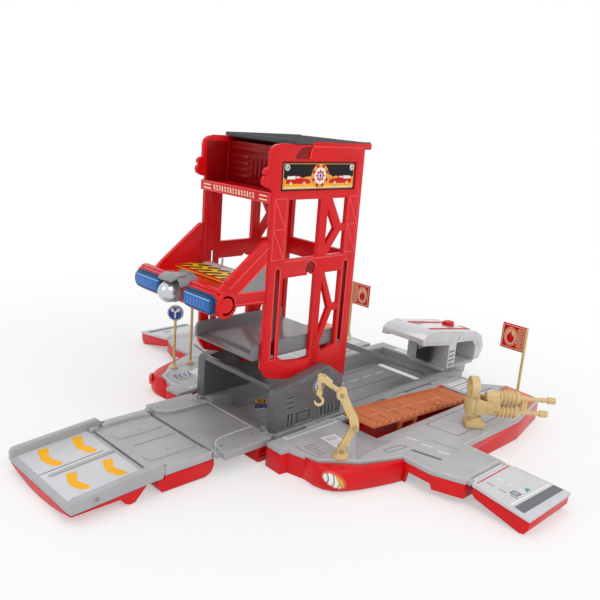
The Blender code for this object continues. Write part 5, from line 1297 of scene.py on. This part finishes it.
def make_camera():
    camera = bpy.data.cameras.new("photo_camera")
    camera.sensor_width = CAMERA_SENSOR
    camera.lens = CAMERA_LENS
    camera.clip_start = 0.01
    camera.clip_end = 50.0
    a, p, r = CAMERA_YAW, CAMERA_PITCH, CAMERA_ROLL
    ahead = Vector((math.cos(a) * math.cos(p), math.sin(a) * math.cos(p), -math.sin(p)))
    right = Vector((math.sin(a), -math.cos(a), 0.0))
    down = ahead.cross(right)
    turned_right = right * math.cos(r) + down * math.sin(r)
    turned_down = down * math.cos(r) - right * math.sin(r)
    eye = (Vector(CAMERA_AT) - Vector((CENTRE_X, 0.0, 0.0))) * MM
    item = add("photo_camera", camera)
    item.matrix_world = basis(turned_right, -turned_down, -ahead, eye)
    bpy.context.scene.camera = item


# Settings, operators and panel
def colour(name, description, default):
    return FloatVectorProperty(
        name=name, description=description, subtype="COLOR", size=3, min=0.0, max=1.0, default=default,
    )


def amount(name, description, default, low=0.0, high=1.0, subtype="NONE"):
    return FloatProperty(
        name=name, description=description, default=default, min=low, max=high, subtype=subtype,
    )


class GarageLook(bpy.types.PropertyGroup):
    red: colour("Body red", "Glossy plastic of the tower and the shells", (0.66, 0.004, 0.007))
    gray: colour("Deck gray", "Matt plastic of the decks and ramps", (0.42, 0.425, 0.44))
    dark: colour("Plate gray", "Dark plastic of the side plates, lift and roof", (0.13, 0.132, 0.138))
    cream: colour("Accessory cream", "Plastic of the crane, cannon and poles", (0.66, 0.49, 0.23))
    orange: colour("Bridge orange", "Plastic of the side bridge and its prop", (0.55, 0.155, 0.05))
    blue: colour("Lens blue", "Tint of the two light covers", (0.015, 0.13, 0.45))
    edge: amount("Edge radius", "Rounding of the moulded edges in millimetres", 0.45, 0.05, 2.0)
    relief: amount("Line height", "Height of the raised lines in millimetres", 0.2, 0.1, 0.25)
    floor: amount("Floor shade", "Brightness of the floor colour", 0.88, subtype="FACTOR")
    key: amount("Key light", "Power of the main lamp", 9.0, 0.0, 100.0, "POWER")
    fill: amount("World light", "Strength of the even light", 0.75, subtype="FACTOR")


class GARAGE_OT_finishes(bpy.types.Operator):
    """Mix the plastics, inks and lenses from the chosen colours"""

    bl_idname = "garage.finishes"
    bl_label = "Finishes"

    def execute(self, context):
        make_finishes(context.scene.garage_look)
        return {"FINISHED"}


class GARAGE_OT_skins(bpy.types.Operator):
    """Round the edges of the carried-over nodes and give each its plastic"""

    bl_idname = "garage.skins"
    bl_label = "Moulded bodies"

    def execute(self, context):
        for finish, names in SKINS.items():
            for name in names:
                dress(name, finish, context.scene.garage_look.edge * MM)
        return {"FINISHED"}


class GARAGE_OT_tower(bpy.types.Operator):
    """Add raised lines, labels, shelf print and roof ribs to the tower"""

    bl_idname = "garage.tower"
    bl_label = "Tower trims"

    def execute(self, context):
        lift = context.scene.garage_look.relief
        for tag, s in SIDES:
            wall_lines(tag, s, lift)
            wall_sticker(tag, s)
        top_room(lift)
        roof_ribs()
        return {"FINISHED"}


class GARAGE_OT_nose(bpy.types.Operator):
    """Build the light bar and the trims of the nose deck"""

    bl_idname = "garage.nose"
    bl_label = "Nose and light bar"

    def execute(self, context):
        nose_trim()
        light_bar()
        hazard_trim()
        return {"FINISHED"}


class GARAGE_OT_front(bpy.types.Operator):
    """Add arrows, pin marks and prints to the front ramp chain and the tray"""

    bl_idname = "garage.front"
    bl_label = "Front ramp and tray"

    def execute(self, context):
        ramp_trim()
        lane_trim()
        bumper_trim()
        return {"FINISHED"}


class GARAGE_OT_sides(bpy.types.Operator):
    """Add prints, headlamps, wheels and plate reliefs to both sides"""

    bl_idname = "garage.sides"
    bl_label = "Side panels"

    def execute(self, context):
        for tag, s in SIDES:
            plate_trim(tag, s, context.scene.garage_look.relief)
            deck_prints(tag, s)
            flap_prints(tag, s)
            wheels(tag, s)
        bridge_trim()
        return {"FINISHED"}


class GARAGE_OT_accessories(bpy.types.Operator):
    """Build the crane, cannon, flags, signs and launcher trims"""

    bl_idname = "garage.accessories"
    bl_label = "Accessories"

    def execute(self, context):
        crane()
        cannon()
        flag("near_flag", 256.6, -125, 88, 1)
        flag("far_flag", 244.5, 82.7, 88, -1)
        sign("sign_front", 27, 112.5, 75)
        sign("sign_rear", 48, 115, 86)
        launcher_trim()
        return {"FINISHED"}


class GARAGE_OT_stage(bpy.types.Operator):
    """Set the pale floor, the soft lamps and the camera of the photo"""

    bl_idname = "garage.stage"
    bl_label = "Stage"

    def execute(self, context):
        look = context.scene.garage_look
        make_floor(look.floor)
        make_lights(look)
        make_camera()
        context.scene.view_settings.view_transform = "Standard"
        return {"FINISHED"}


class GARAGE_PT_panel(bpy.types.Panel):
    bl_label = "Garage"
    bl_idname = "GARAGE_PT_panel"
    bl_space_type = "VIEW_3D"
    bl_region_type = "UI"
    bl_category = "Garage"

    def draw(self, context):
        for name in GarageLook.__annotations__:
            self.layout.prop(context.scene.garage_look, name)
        for operator in OPERATORS:
            self.layout.operator(operator.bl_idname)


OPERATORS = (
    GARAGE_OT_finishes, GARAGE_OT_skins, GARAGE_OT_tower, GARAGE_OT_nose, GARAGE_OT_front,
    GARAGE_OT_sides, GARAGE_OT_accessories, GARAGE_OT_stage,
)
CLASSES = (GarageLook, *OPERATORS, GARAGE_PT_panel)


def register():
    for item in CLASSES:
        bpy.utils.register_class(item)
    bpy.types.Scene.garage_look = PointerProperty(type=GarageLook)


def unregister():
    del bpy.types.Scene.garage_look
    for item in reversed(CLASSES):
        bpy.utils.unregister_class(item)


def main():
    register()
    bpy.ops.garage.finishes()
    bpy.ops.garage.skins()
    bpy.ops.garage.tower()
    bpy.ops.garage.nose()
    bpy.ops.garage.front()
    bpy.ops.garage.sides()
    bpy.ops.garage.accessories()
    bpy.ops.garage.stage()


if __name__ == "__main__":
    main()
